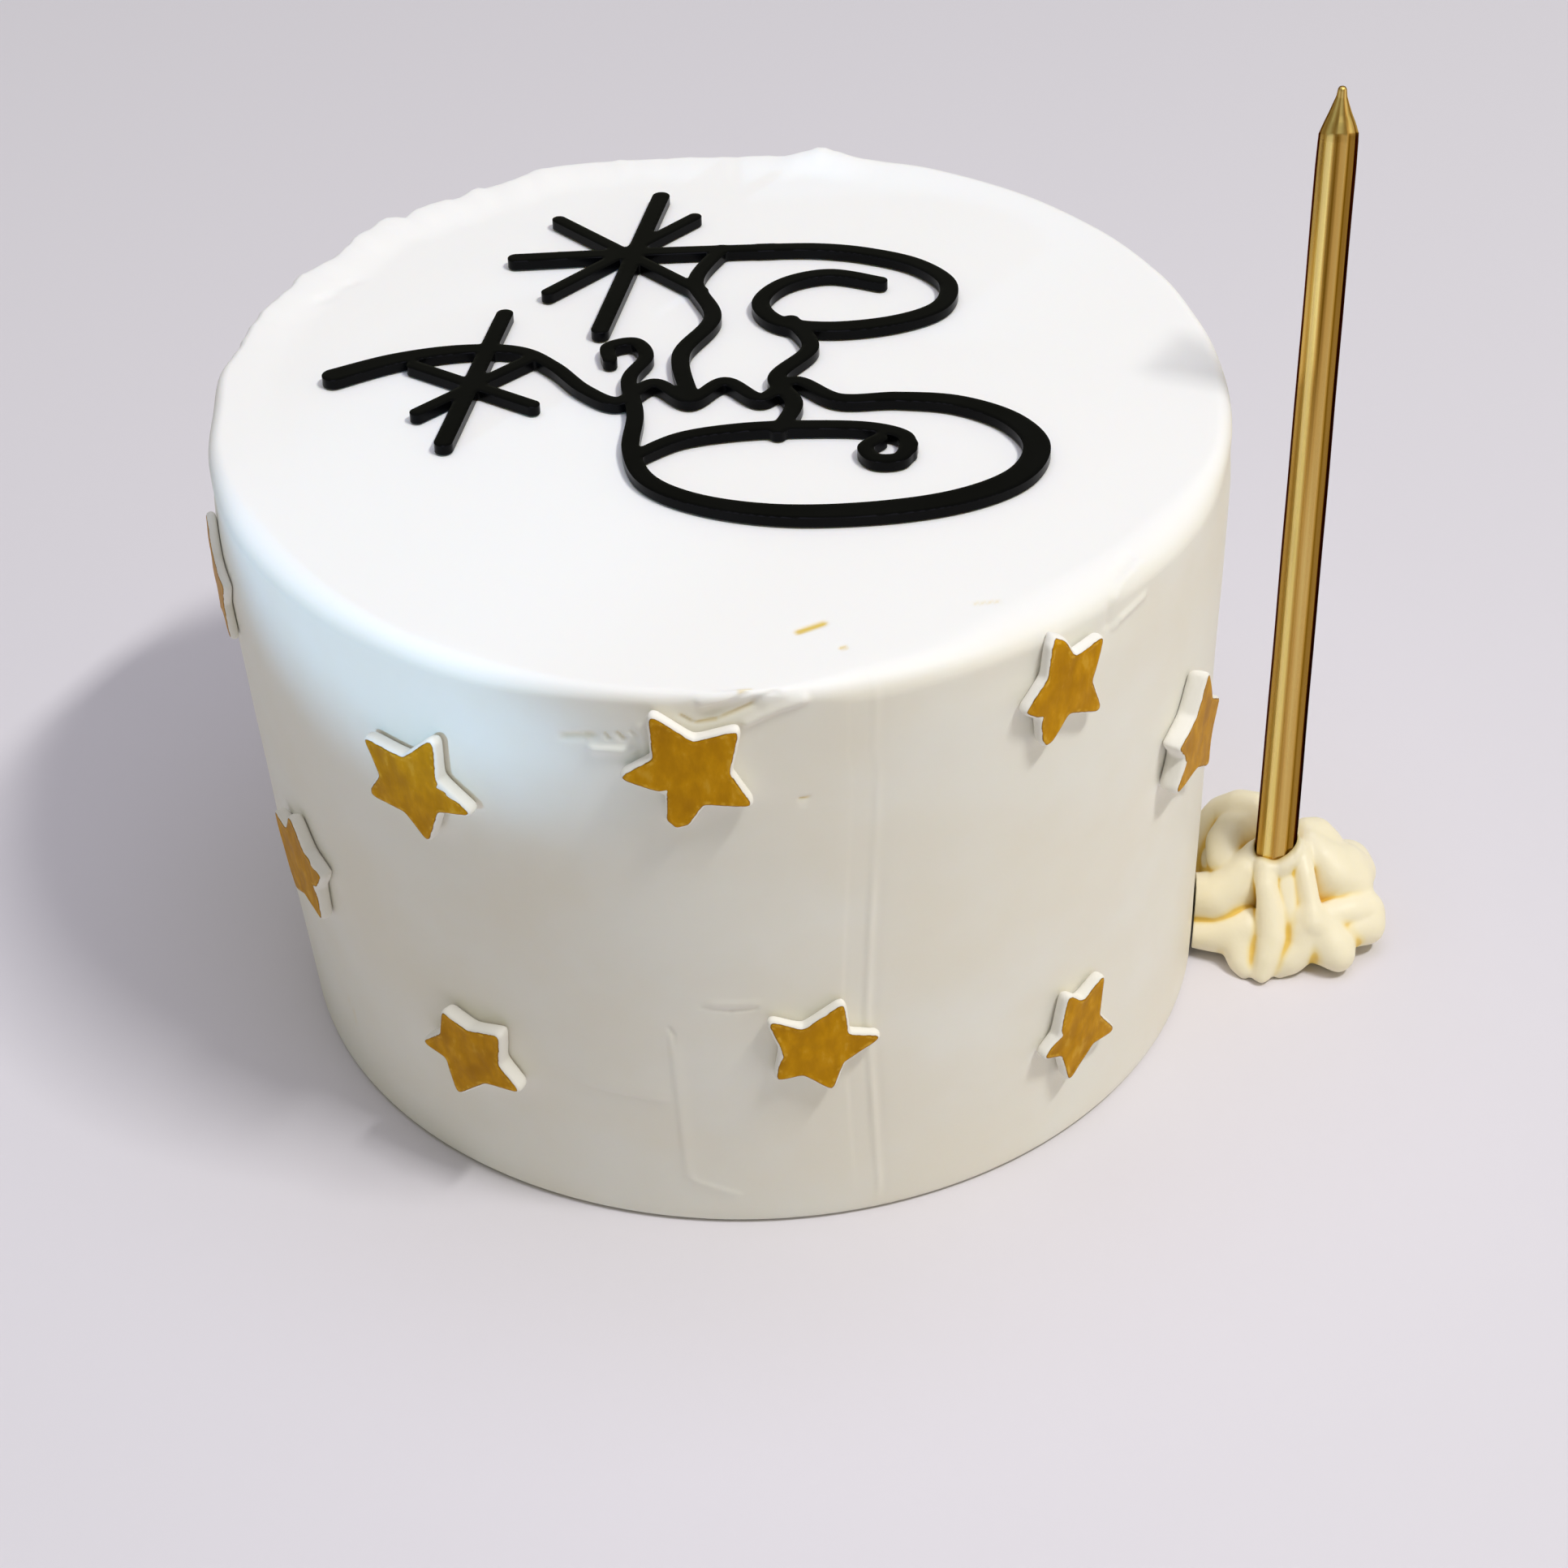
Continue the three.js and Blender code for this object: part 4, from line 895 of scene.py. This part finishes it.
points, quads = cut_sheet(ornament_depth, CELL, grid_x, grid_y, TOPPER_THICKNESS)
points = points + [*TOPPER_MIDDLE, CAKE_HEIGHT + TOPPER_GAP]
print("points of the cut sheet:", len(points))

# %% Polished black acrylic
acrylic, shader, place = new_finish("acrylic", Specular_IOR_Level=0.07)
scuff = grain(place, 9, 4.0)
scuff.step(0.35, 0.7).blend(colour("030304"), colour("070708")).to(shader, "Base Color")
(scuff * 0.12 + 0.16).to(shader, "Roughness")
relief(grain(place, 16), 0.03).to(shader, "Normal")
add_piece(
    "scrollwork_ornament", points, quads, np.zeros((0, 3), int), "topper", "acrylic", acrylic,
    sharp=38,
)

# %% [markdown]
# ## The candle
# A slim cake candle is drawn through a ribbed die, dipped in metallic lacquer and pinched to a
# thin end where the wick comes out. It is a profile of radius by height turned round a middle
# line that leans a little. Twelve shallow hollow flutes with crisp ridges between them are taken
# off the radius, and they run out where the end is pinched. The pinch was made at a slant, so
# its shoulder lies higher in front. The lacquer is a bright metal whose colour carries painted
# reflections: a table round the candle says where it is painted bright and where painted dark
# brown to near black, like the light and dark surroundings a polished candle shows, and down one
# side in front, low on the candle, a brighter painted band runs.

# %% Gold lacquer
lacquer, shader, place = new_finish(
    "gold_lacquer", Metallic=1.0, Specular_Tint=(0.3, 0.2, 0.1, 1.0)
)
# The colour is painted reflection: an attribute paints bright and dark bands round the candle,
# from near black through brown to pale gold, with streaks.
cover = place.carried("cover")
streak = grain(place, 1.1, 3.0, (1, 1, 0.02))
cover = cover + (streak - 0.5) * 0.25
gold = (cover * 4.0).blend(colour("1c1408"), colour("805c18"))
gold = (cover * 3.3 - 0.8).blend(gold, colour("c89f52"))
gold = (cover * 2.2 - 1.2).blend(gold, colour("f3dc8c"))
gold.to(shader, "Base Color")
at_tip = place.height().step(148.5 * MM, 149.2 * MM)
(0.22 + streak * 0.1 + at_tip * 0.2).to(shader, "Roughness")
relief(streak * 0.8 + grain(place, 2.5) * 0.2, 0.02).to(shader, "Normal")
print("lacquer's nodes:", len(lacquer.node_tree.nodes))

# %% Measures of the candle
CANDLE_X = 87.0
CANDLE_Y = -7.5
CANDLE_LEAN_X = 0.8
CANDLE_FOOT_Z = 8
CANDLE_ENTRY_Z = 18.5
CANDLE_TIP_Z = 156.3
CANDLE_FLUTES = 12
CANDLE_FLUTE_DEPTH = 0.22
# Azimuth of one ridge, and the slope of the pinched shoulder.
CANDLE_RIDGE = 15.5
CANDLE_SLANT = 0.42
# Height, radius, share of the flute depth.
CANDLE_PROFILE = [
    (8, 3.2, 1), (8.6, 3.4, 1), (18, 3.42, 1), (60, 3.25, 1), (105, 3.1, 1), (143.5, 3.0, 1),
    (147.5, 2.93, 1), (148.9, 2.87, 1), (149.0, 2.82, 0.9), (149.9, 2.53, 0.85),
    (150.9, 2.17, 0.8), (152.2, 1.65, 0.65), (153.5, 1.2, 0.4), (154.8, 0.76, 0.2),
    (155.9, 0.62, 0.1), (156.15, 0.5, 0), (156.28, 0.24, 0),
]
# Heights where a stretch of rings begins and ends, and how many it holds.
CANDLE_ROWS = [(CANDLE_FOOT_Z, 18, 6), (20, 140, 60), (141, 148.9, 24), (149, 156.28, 66)]
# Azimuth round the candle, and how bright the painted reflection is there, from dark bands and
# edges to bright ones.
CANDLE_PAINTED_REFLECTION = [
    (-165, 0.6), (-150, 0.25), (-136, 0.9), (-122, 0.5), (-108, 0.3), (-90, 0.05), (-80, 0.15),
    (-70, 0.6), (-58, 0.5), (-50, 0.7), (-43, 0.85), (-37, 1.0), (-29, 1.0), (-24, 0.6),
    (-18, 0.3), (-12, 0.2), (-6, 0.36), (2, 0.56), (14, 0.62), (20, 0.5), (25, 0.24), (34, 0.34),
    (44, 0.34), (53, 0.1), (70, 0.04), (100, 0.06), (118, 0.5), (140, 0.25), (152, 0.85),
    (168, 0.9), (178, 0.3),
]
# Painted brighter band down the front: how much brighter, the azimuth, and how wide in degrees.
FRONT_BAND_BRIGHTER = 0.28
FRONT_BAND_AZIMUTH = -10
FRONT_BAND_WIDTH = 14


def candle_middle(z):
    """The candle's middle line shifts to the right in step with height."""
    return CANDLE_X + CANDLE_LEAN_X * (z - CANDLE_ENTRY_Z) / (CANDLE_TIP_Z - CANDLE_ENTRY_Z)


print("middle of the candle half way up:", candle_middle(80), CANDLE_Y)

# %% The fluted taper
heights, radii, flutes = np.array(CANDLE_PROFILE).T
z = np.concatenate([np.linspace(*stretch) for stretch in CANDLE_ROWS])[:, None]
turn = np.radians(np.linspace(-180, 180, 240, endpoint=False))[None]
hollow = np.abs(np.sin((turn - math.radians(CANDLE_RIDGE)) * CANDLE_FLUTES / 2)) ** 0.8
radius = np.interp(z, heights, radii)
radius = radius - CANDLE_FLUTE_DEPTH * np.interp(z, heights, flutes) * hollow
# The lacquer's thickness wanders a little up and round the candle.
wander = 0.02 * np.sin(z / 11) + 0.015 * np.sin(z / 4.7 + turn)
radius = radius + wander * (z < 156)
slant = CANDLE_SLANT * radius * np.cos(turn) * ease(z, 141, 148) * (1 - ease(z, 150, 154))
candle_rings = np.stack([
    candle_middle(z) + radius * np.sin(turn), CANDLE_Y - radius * np.cos(turn), z + slant,
], -1)
points, quads, fans = closed_rings(
    [candle_middle(CANDLE_FOOT_Z), CANDLE_Y, CANDLE_FOOT_Z], candle_rings,
    [candle_middle(CANDLE_TIP_Z), CANDLE_Y, CANDLE_TIP_Z],
)
# Painted reflection: a brighter band down the front, fading out between heights 80 and 125, and a
# painted pattern over the pinched end.
front_band = np.exp(-(((np.degrees(turn) - FRONT_BAND_AZIMUTH) / FRONT_BAND_WIDTH) ** 2))
brighter_band = FRONT_BAND_BRIGHTER * (1 - ease(z, 80, 125)) * front_band
cover = around(CANDLE_PAINTED_REFLECTION, np.degrees(turn)) + brighter_band
tip_reflection = 0.75 + 0.25 * np.cos(9 * turn + 1)
cover = mix(cover, tip_reflection, ease(z, 148.8, 149.2) * (0.5 + 0.4 * np.cos(turn - 0.2)))
cover = capped(0.2, cover, 0.6)
add_piece("taper_candle", points, quads, fans, "candle", "candle_gold", lacquer, cover=cover)

# %% [markdown]
# ## The ruffle of cream
# The cream is piped in short ropes that lie against each other in folds. Each rope is a chain
# of balls. Rays go out from the candle's foot in every direction, and the skin lies where a ray
# last leaves a ball. Within one rope the farthest ball wins, and between ropes the two farthest
# blend a little, so the folds meet in soft creases. Where the skin lies below its own wide
# average the point is in a crease, and there the finish is painted a deeper yellow as painted
# shade.

# %% Ropes of cream: chains of x, y, z and rope radius
CREAM_GAP = 0.35
CREAM_CORE = 6
SOCKET_RADIUS = 3.5
SOCKET_FLOOR_Z = 7.7
SOCKET_MIDDLE_Z = 14
# Where the rays stop, in degrees above level, and how sharply ropes meet.
LAST_RAY = 75.5
FOLD_SHARPNESS = 2.2
# Ring of cream round the candle: its radius, mean height, rise on the higher side and thickness.
COLLAR_RADIUS = 1.8
COLLAR_Z = 16.2
COLLAR_RISE = 1.9
COLLAR_HIGHEST = math.radians(122)
COLLAR_THICKNESS = 2.7
COLLAR_TURNS = np.radians(np.arange(0, 361, 20))
CREAM_ROPES = [
    # heart of the ruffle
    [(86, -3, 5, 8), (90, -4, 5, 8.5), (94, -4, 4.5, 8)],
    [(81, -4.5, 8.5, 5.2), (80.5, -1, 9.5, 5), (83, 0.5, 10, 5)],
    # rope round the back left, against the cake
    [(85.1, 1.1, 19, 2.8), (82.4, 3, 18, 3), (79.7, 4.6, 15.5, 3), (77.1, 4.1, 12.5, 2.8),
     (75.6, 2.6, 9.5, 2.8), (74.5, 0.4, 7, 2.8)],
    # curl at the candle's left
    [(85.6, 0.1, 17.8, 2.6), (83.5, 0.3, 17.4, 2.7), (81, 0, 16, 3), (79.3, -2.2, 14.6, 3.2),
     (79.1, -4.5, 13.2, 3), (80.1, -5.9, 12.2, 2.5)],
    # broad lobe from the candle down to the left, and the petal and foot under it
    [(84.1, -6.5, 15.0, 2.6), (82.4, -8, 13.0, 3.3), (80.5, -8.8, 10.6, 3.9),
     (77.8, -9.3, 8.6, 4.2), (73.9, -7.1, 7, 4.2)],
    [(82.4, -13.7, 5.6, 3.4), (80.2, -13.7, 4.6, 3.5), (77.5, -13.4, 3.8, 3),
     (73.5, -12.1, 3.2, 2.4)],
    [(82.3, -14.4, 4.4, 3.2), (81.1, -15.7, 3, 3.2), (81, -17.7, 1.8, 2.4), (81.6, -19.3, 1, 1.6)],
    # ridges down the front
    [(85.2, -10, 15.6, 2), (84.9, -12.9, 13.3, 1.9), (85.5, -15, 9.8, 2.3),
     (85.7, -17.5, 6.4, 2.4), (84.7, -19.7, 3.8, 2), (83.9, -21, 1.4, 1.6)],
    [(91, -7.6, 16.4, 2), (91.6, -11.3, 14.4, 1.7), (92.2, -14.5, 11.3, 1.7),
     (92.4, -16.6, 8.6, 2.1)],
    # valley between the ridges, and the fold below it
    [(87.8, -8.9, 13.9, 2.9), (88.7, -10.9, 9.9, 3.9), (89.3, -13.5, 7.2, 3.8)],
    [(91.4, -16, 6.4, 3.2), (90.8, -17.2, 4.2, 3.2), (88.8, -18.6, 2.6, 2.7),
     (86.9, -19.2, 1.4, 1.9)],
    # big and small lobes at the lower right
    [(92.2, -15.1, 8.5, 3), (94.5, -16, 5.6, 3.8), (95.9, -17.5, 4, 3.8), (96.3, -18.4, 3.4, 3.4)],
    [(95.6, -14.2, 8.2, 2.4), (99.1, -12.6, 7.4, 3.2), (102, -11.2, 6.4, 3.5),
     (102, -12.9, 4.6, 3.5), (99, -14, 5, 3.4)],
    # shoulder at the right
    [(93.1, -4.9, 16.5, 2.2), (94.9, -7, 14.2, 3.4), (96.8, -8.2, 11.6, 4.3),
     (99.6, -7.3, 9.3, 4.3)],
    [(92.8, -2.6, 17, 2.2), (94.6, -2.4, 16.2, 2.7), (95.8, -3, 14.2, 3.2)],
    [(96.5, -4.4, 11.9, 3.5), (100.5, -2, 9.6, 3.7), (101.4, -3.9, 8.7, 3.6),
     (98.7, -5.3, 10.9, 4.3), (96, -6, 13, 3.6)],
    # lobes round the back
    [(87.5, -2, 16, 2.3), (88.6, 0.4, 12.5, 3.3), (89.4, 2, 8, 4), (89.6, 2.6, 4, 3.8)],
    [(91.5, -3.6, 15, 2.3), (95, -1.6, 11, 3.4), (97.3, -0.6, 7, 3.9), (97.8, -0.4, 4, 3.7)],
    [(82, 3.4, 14, 2.8), (82.6, 5, 9, 3.6), (82.6, 5.8, 4.4, 3.6)],
    # ring that closes up to the candle, higher on one side
    list(zip(
        CANDLE_X + COLLAR_RADIUS * np.sin(COLLAR_TURNS),
        CANDLE_Y - COLLAR_RADIUS * np.cos(COLLAR_TURNS),
        COLLAR_Z + COLLAR_RISE * np.cos(COLLAR_TURNS - COLLAR_HIGHEST),
        np.full(len(COLLAR_TURNS), COLLAR_THICKNESS),
    )),
]
print("ropes of cream:", len(CREAM_ROPES))


# %% Rays, ropes and soft creases
def strung(rope, spacing=0.45):
    """Balls along a rope, by reading its chain at even steps of its own length."""
    chain = np.array(rope, float)
    walked = walked_along(chain[:, :3])
    at = np.linspace(0, walked[-1], int(walked[-1] / spacing) + 2)
    return np.stack([np.interp(at, walked, chain[:, k]) for k in range(4)], -1)


def leave(ropes, origins, directions):
    """Where each ray last leaves each rope: along + root of (radius^2 - distance from it^2)."""
    leaves = []
    for balls in ropes:
        centre = balls[None, :, :3] - origins[:, None]
        along = (centre * directions[:, None]).sum(-1)
        room = balls[None, :, 3] ** 2 - (centre ** 2).sum(-1) + along ** 2
        leaves.append(np.where(room > 0, along + np.sqrt(np.maximum(room, 0)), -50).max(1))
    return np.array(leaves)


def softened(grid, rows, columns):
    """Bell blur of a grid: a weighted sum of shifted copies, round the ring and up the rows."""
    for axis, spread in ((0, rows), (1, columns)):
        reach = int(3 * spread) + 1
        weights = np.exp(-0.5 * (np.arange(-reach, reach + 1) / spread) ** 2)
        mode = "edge" if axis == 0 else "wrap"
        pad = [(reach, reach) if k == axis else (0, 0) for k in (0, 1)]
        wide = np.pad(grid, pad, mode=mode)
        size = grid.shape[axis]
        grid = sum(
            w * np.take(wide, np.arange(size) + k, axis) for k, w in enumerate(weights)
        ) / weights.sum()
    return grid


ropes = [strung(rope) for rope in CREAM_ROPES]
print("balls of cream:", sum(map(len, ropes)))

# %% Folds of the cream
cream_turns = np.radians(np.linspace(0, 360, 440, endpoint=False))
rises = np.radians(np.linspace(0, LAST_RAY, 200))
turn, lift = np.meshgrid(cream_turns, rises)
directions = np.stack(
    [np.sin(turn) * np.cos(lift), -np.cos(turn) * np.cos(lift), np.sin(lift)], -1
).reshape(-1, 3)
heart = np.array([CANDLE_X, CANDLE_Y, 0.0])
leaves = leave(ropes, np.broadcast_to(heart, directions.shape), directions)
distance = np.maximum(CREAM_CORE, blend_most(leaves, FOLD_SHARPNESS)).reshape(turn.shape)
# Blurs are so many rows and columns of the grid wide.
smooth_distance = softened(distance, 1.9, 2.5)
# Painted shade: how far the skin sinks below its wide average paints the creases a deeper yellow.
dent = ease(softened(distance, 6, 8) - smooth_distance, 0.02, 0.6)
crease = softened(dent, 1.5, 2.0)
cream_rings = heart + directions.reshape(*turn.shape, 3) * smooth_distance[..., None]
print("reach of the cream from the candle's foot:", smooth_distance.min(), smooth_distance.max())

# %% [markdown]
# ## The socket and the side of the cake
# The rays stop a little short of straight up, where the candle goes in. From there the skin turns
# over into a round socket, down to its floor. Where a fold would run into the cake, its points are
# moved straight out from the cake's middle line until they clear the icing.

# %% Skin of the cream
ring = np.stack([
    candle_middle(SOCKET_MIDDLE_Z) + SOCKET_RADIUS * np.sin(cream_turns),
    CANDLE_Y - SOCKET_RADIUS * np.cos(cream_turns), 0 * cream_turns,
], -1)
up = np.broadcast_to(np.array([0.0, 0.0, 1.0]), ring.shape)
socket_top = blend_most(leave(ropes, ring, up), FOLD_SHARPNESS)
socket_top = softened(socket_top[None].repeat(3, 0), 1, 3)[1]
tuck = np.array([0.0, 0.5, 1.2, 3.0])[:, None] / 3.0
socket_z = socket_top - (socket_top - SOCKET_FLOOR_Z) * tuck
level_ring = np.broadcast_to(ring[:, :2], (*socket_z.shape, 2))
socket_rings = np.concatenate([level_ring, socket_z[..., None]], -1)
cream_rings = np.concatenate([cream_rings, socket_rings])
# The socket's inside takes much of the painted crease shade.
crease = np.concatenate([crease, np.ones_like(socket_z) * 0.8])

z = cream_rings[..., 2]
across = cream_rings[..., 0] - LEAN_X * z / CAKE_HEIGHT
ahead = cream_rings[..., 1]
least = side_radius(np.degrees(np.arctan2(across, -ahead)), z) + CREAM_GAP
push = np.maximum(1, least / np.hypot(across, ahead))
cream_rings[..., 0] += across * (push - 1)
cream_rings[..., 1] = ahead * push
points, quads, fans = closed_rings(
    heart, cream_rings, [candle_middle(SOCKET_FLOOR_Z), CANDLE_Y, SOCKET_FLOOR_Z]
)
print("widest part of the cream, x:", cream_rings[..., 0].min(), cream_rings[..., 0].max())

# %% Buttercream
cream, shader, place = new_finish(
    "cream", Roughness=0.42, Subsurface_Weight=0.2, Subsurface_Radius=(1.0, 0.95, 0.6),
    Subsurface_Scale=2.5 * MM, Specular_IOR_Level=0.4,
)
# Painted shade: creases and the socket are painted a deeper yellow.
painted_crease_shade = place.carried("crease")
painted_crease_shade = (painted_crease_shade + (grain(place, 3) - 0.5) * 0.2).step(0.1, 1.0)
crease_shade_yellow = painted_crease_shade.step(0.55, 1.0).blend(colour("f6e09a"), colour("f0cb5e"))
painted_crease_shade.blend(colour("fbf0d3"), crease_shade_yellow).to(shader, "Base Color")
relief(grain(place, 1.6, 3.0), 0.06).to(shader, "Normal")
add_piece(
    "cream_folds", points, quads, fans, "cream_ruffle", "cream", cream,
    crease=capped(0, crease, 0.8),
)

# %% [markdown]
# ## Floor, light and camera
# The cake stands on a plain pale floor. A key light high on the right front throws the short
# shadows to the left and brings out the stars' edges. It is a strip, five times as wide as it is
# high, so that the thin candle's shadow fades on the icing. A broad cool light hangs overhead, a
# warm one stands low on the right, a cool window light grazes the upper left under the rim, and
# an even sky of warm bounced light fills the rest. The camera looks down at about 37.5 degrees
# with a long lens, turned a hair to the right and rolled a little.

# %% Floor
FLOOR_HALF = 9
FLOOR_Z = -0.1 * MM
floor_mesh = bpy.data.meshes.new("floor")
floor_mesh.from_pydata(
    [(x * FLOOR_HALF, y * FLOOR_HALF, FLOOR_Z) for x, y in ((-1, -1), (1, -1), (1, 1), (-1, 1))],
    [], [(0, 1, 2, 3)],
)
floor_finish = new_finish("floor", Roughness=0.6, Base_Color=colour("e4e0e6"))[0]
floor_mesh.materials.append(floor_finish)
floor = bpy.data.objects.new("floor", floor_mesh)
bpy.context.scene.collection.objects.link(floor)
print("floor, m across:", 2 * FLOOR_HALF)

# %% Sky and the way a light is placed
world = bpy.data.worlds.new("sky")
bpy.context.scene.world = world
world.use_nodes = True
sky = world.node_tree.nodes["Background"]
sky.inputs["Color"].default_value = (0.98, 1.0, 0.72, 1.0)
sky.inputs["Strength"].default_value = 0.243


def add_light(
    name, kind, azimuth, height_angle, away, power, tint, toward, wide=1, roll=0, **settings
):
    """Light facing a point, at an azimuth and height angle in degrees and a distance in m."""
    light = bpy.data.lights.new(name, kind)
    light.energy = power
    light.color = tint
    for label, value in settings.items():
        setattr(light, label, value)
    lamp = bpy.data.objects.new(name, light)
    bpy.context.scene.collection.objects.link(lamp)
    lamp.matrix_world = (
        Matrix.Translation(toward) @ Matrix.Rotation(math.radians(azimuth), 4, "Z")
        @ Matrix.Rotation(math.radians(90 - height_angle), 4, "X")
        @ Matrix.Translation((0, 0, away)) @ Matrix.Rotation(math.radians(roll), 4, "Z")
        @ Matrix.Diagonal((wide, 1, 1, 1))
    )
    return lamp


print("sky strength:", sky.inputs["Strength"].default_value)

# %% Lights
CAKE_MIDDLE = (0, 0, 0.06)
UPPER_LEFT = (-0.0596, -0.0553, 0.104)
add_light("key", "AREA", 57, 61, 2.0, 20.3, (1.0, 1.0, 0.96), CAKE_MIDDLE, wide=5, size=0.1)
add_light("overhead", "AREA", 0, 89, 1.8, 14.2, (0.74, 0.72, 1.0), CAKE_MIDDLE, size=1.6)
add_light("low", "AREA", 75, 5, 1.6, 2.6, (1.0, 0.78, 0.5), CAKE_MIDDLE, size=0.8)
add_light(
    "window", "SPOT", -40, 5, 1.2, 36, (0.38, 0.66, 1.0), UPPER_LEFT, wide=2.1, roll=-20,
    spot_size=math.radians(2.3), spot_blend=0.6, shadow_soft_size=0.01,
)
print("lights:", [light.name for light in bpy.data.lights])

# %% Camera
CAMERA_PLACE = (0, -0.47668, 0.39466)
CAMERA_TURN = math.radians(-0.693)
CAMERA_DOWN = math.radians(37.55)
CAMERA_ROLL = math.radians(-1.392)
camera_data = bpy.data.cameras.new("camera")
camera_data.sensor_width = 36
camera_data.lens = 83.36
camera = bpy.data.objects.new("camera", camera_data)
bpy.context.scene.collection.objects.link(camera)
camera.matrix_world = (
    Matrix.Translation(CAMERA_PLACE) @ Matrix.Rotation(CAMERA_TURN, 4, "Z")
    @ Matrix.Rotation(math.radians(90) - CAMERA_DOWN, 4, "X")
    @ Matrix.Rotation(CAMERA_ROLL, 4, "Z")
)
bpy.context.scene.camera = camera
bpy.context.scene.view_settings.view_transform = "Standard"
print("camera at:", CAMERA_PLACE, "lens:", camera_data.lens)
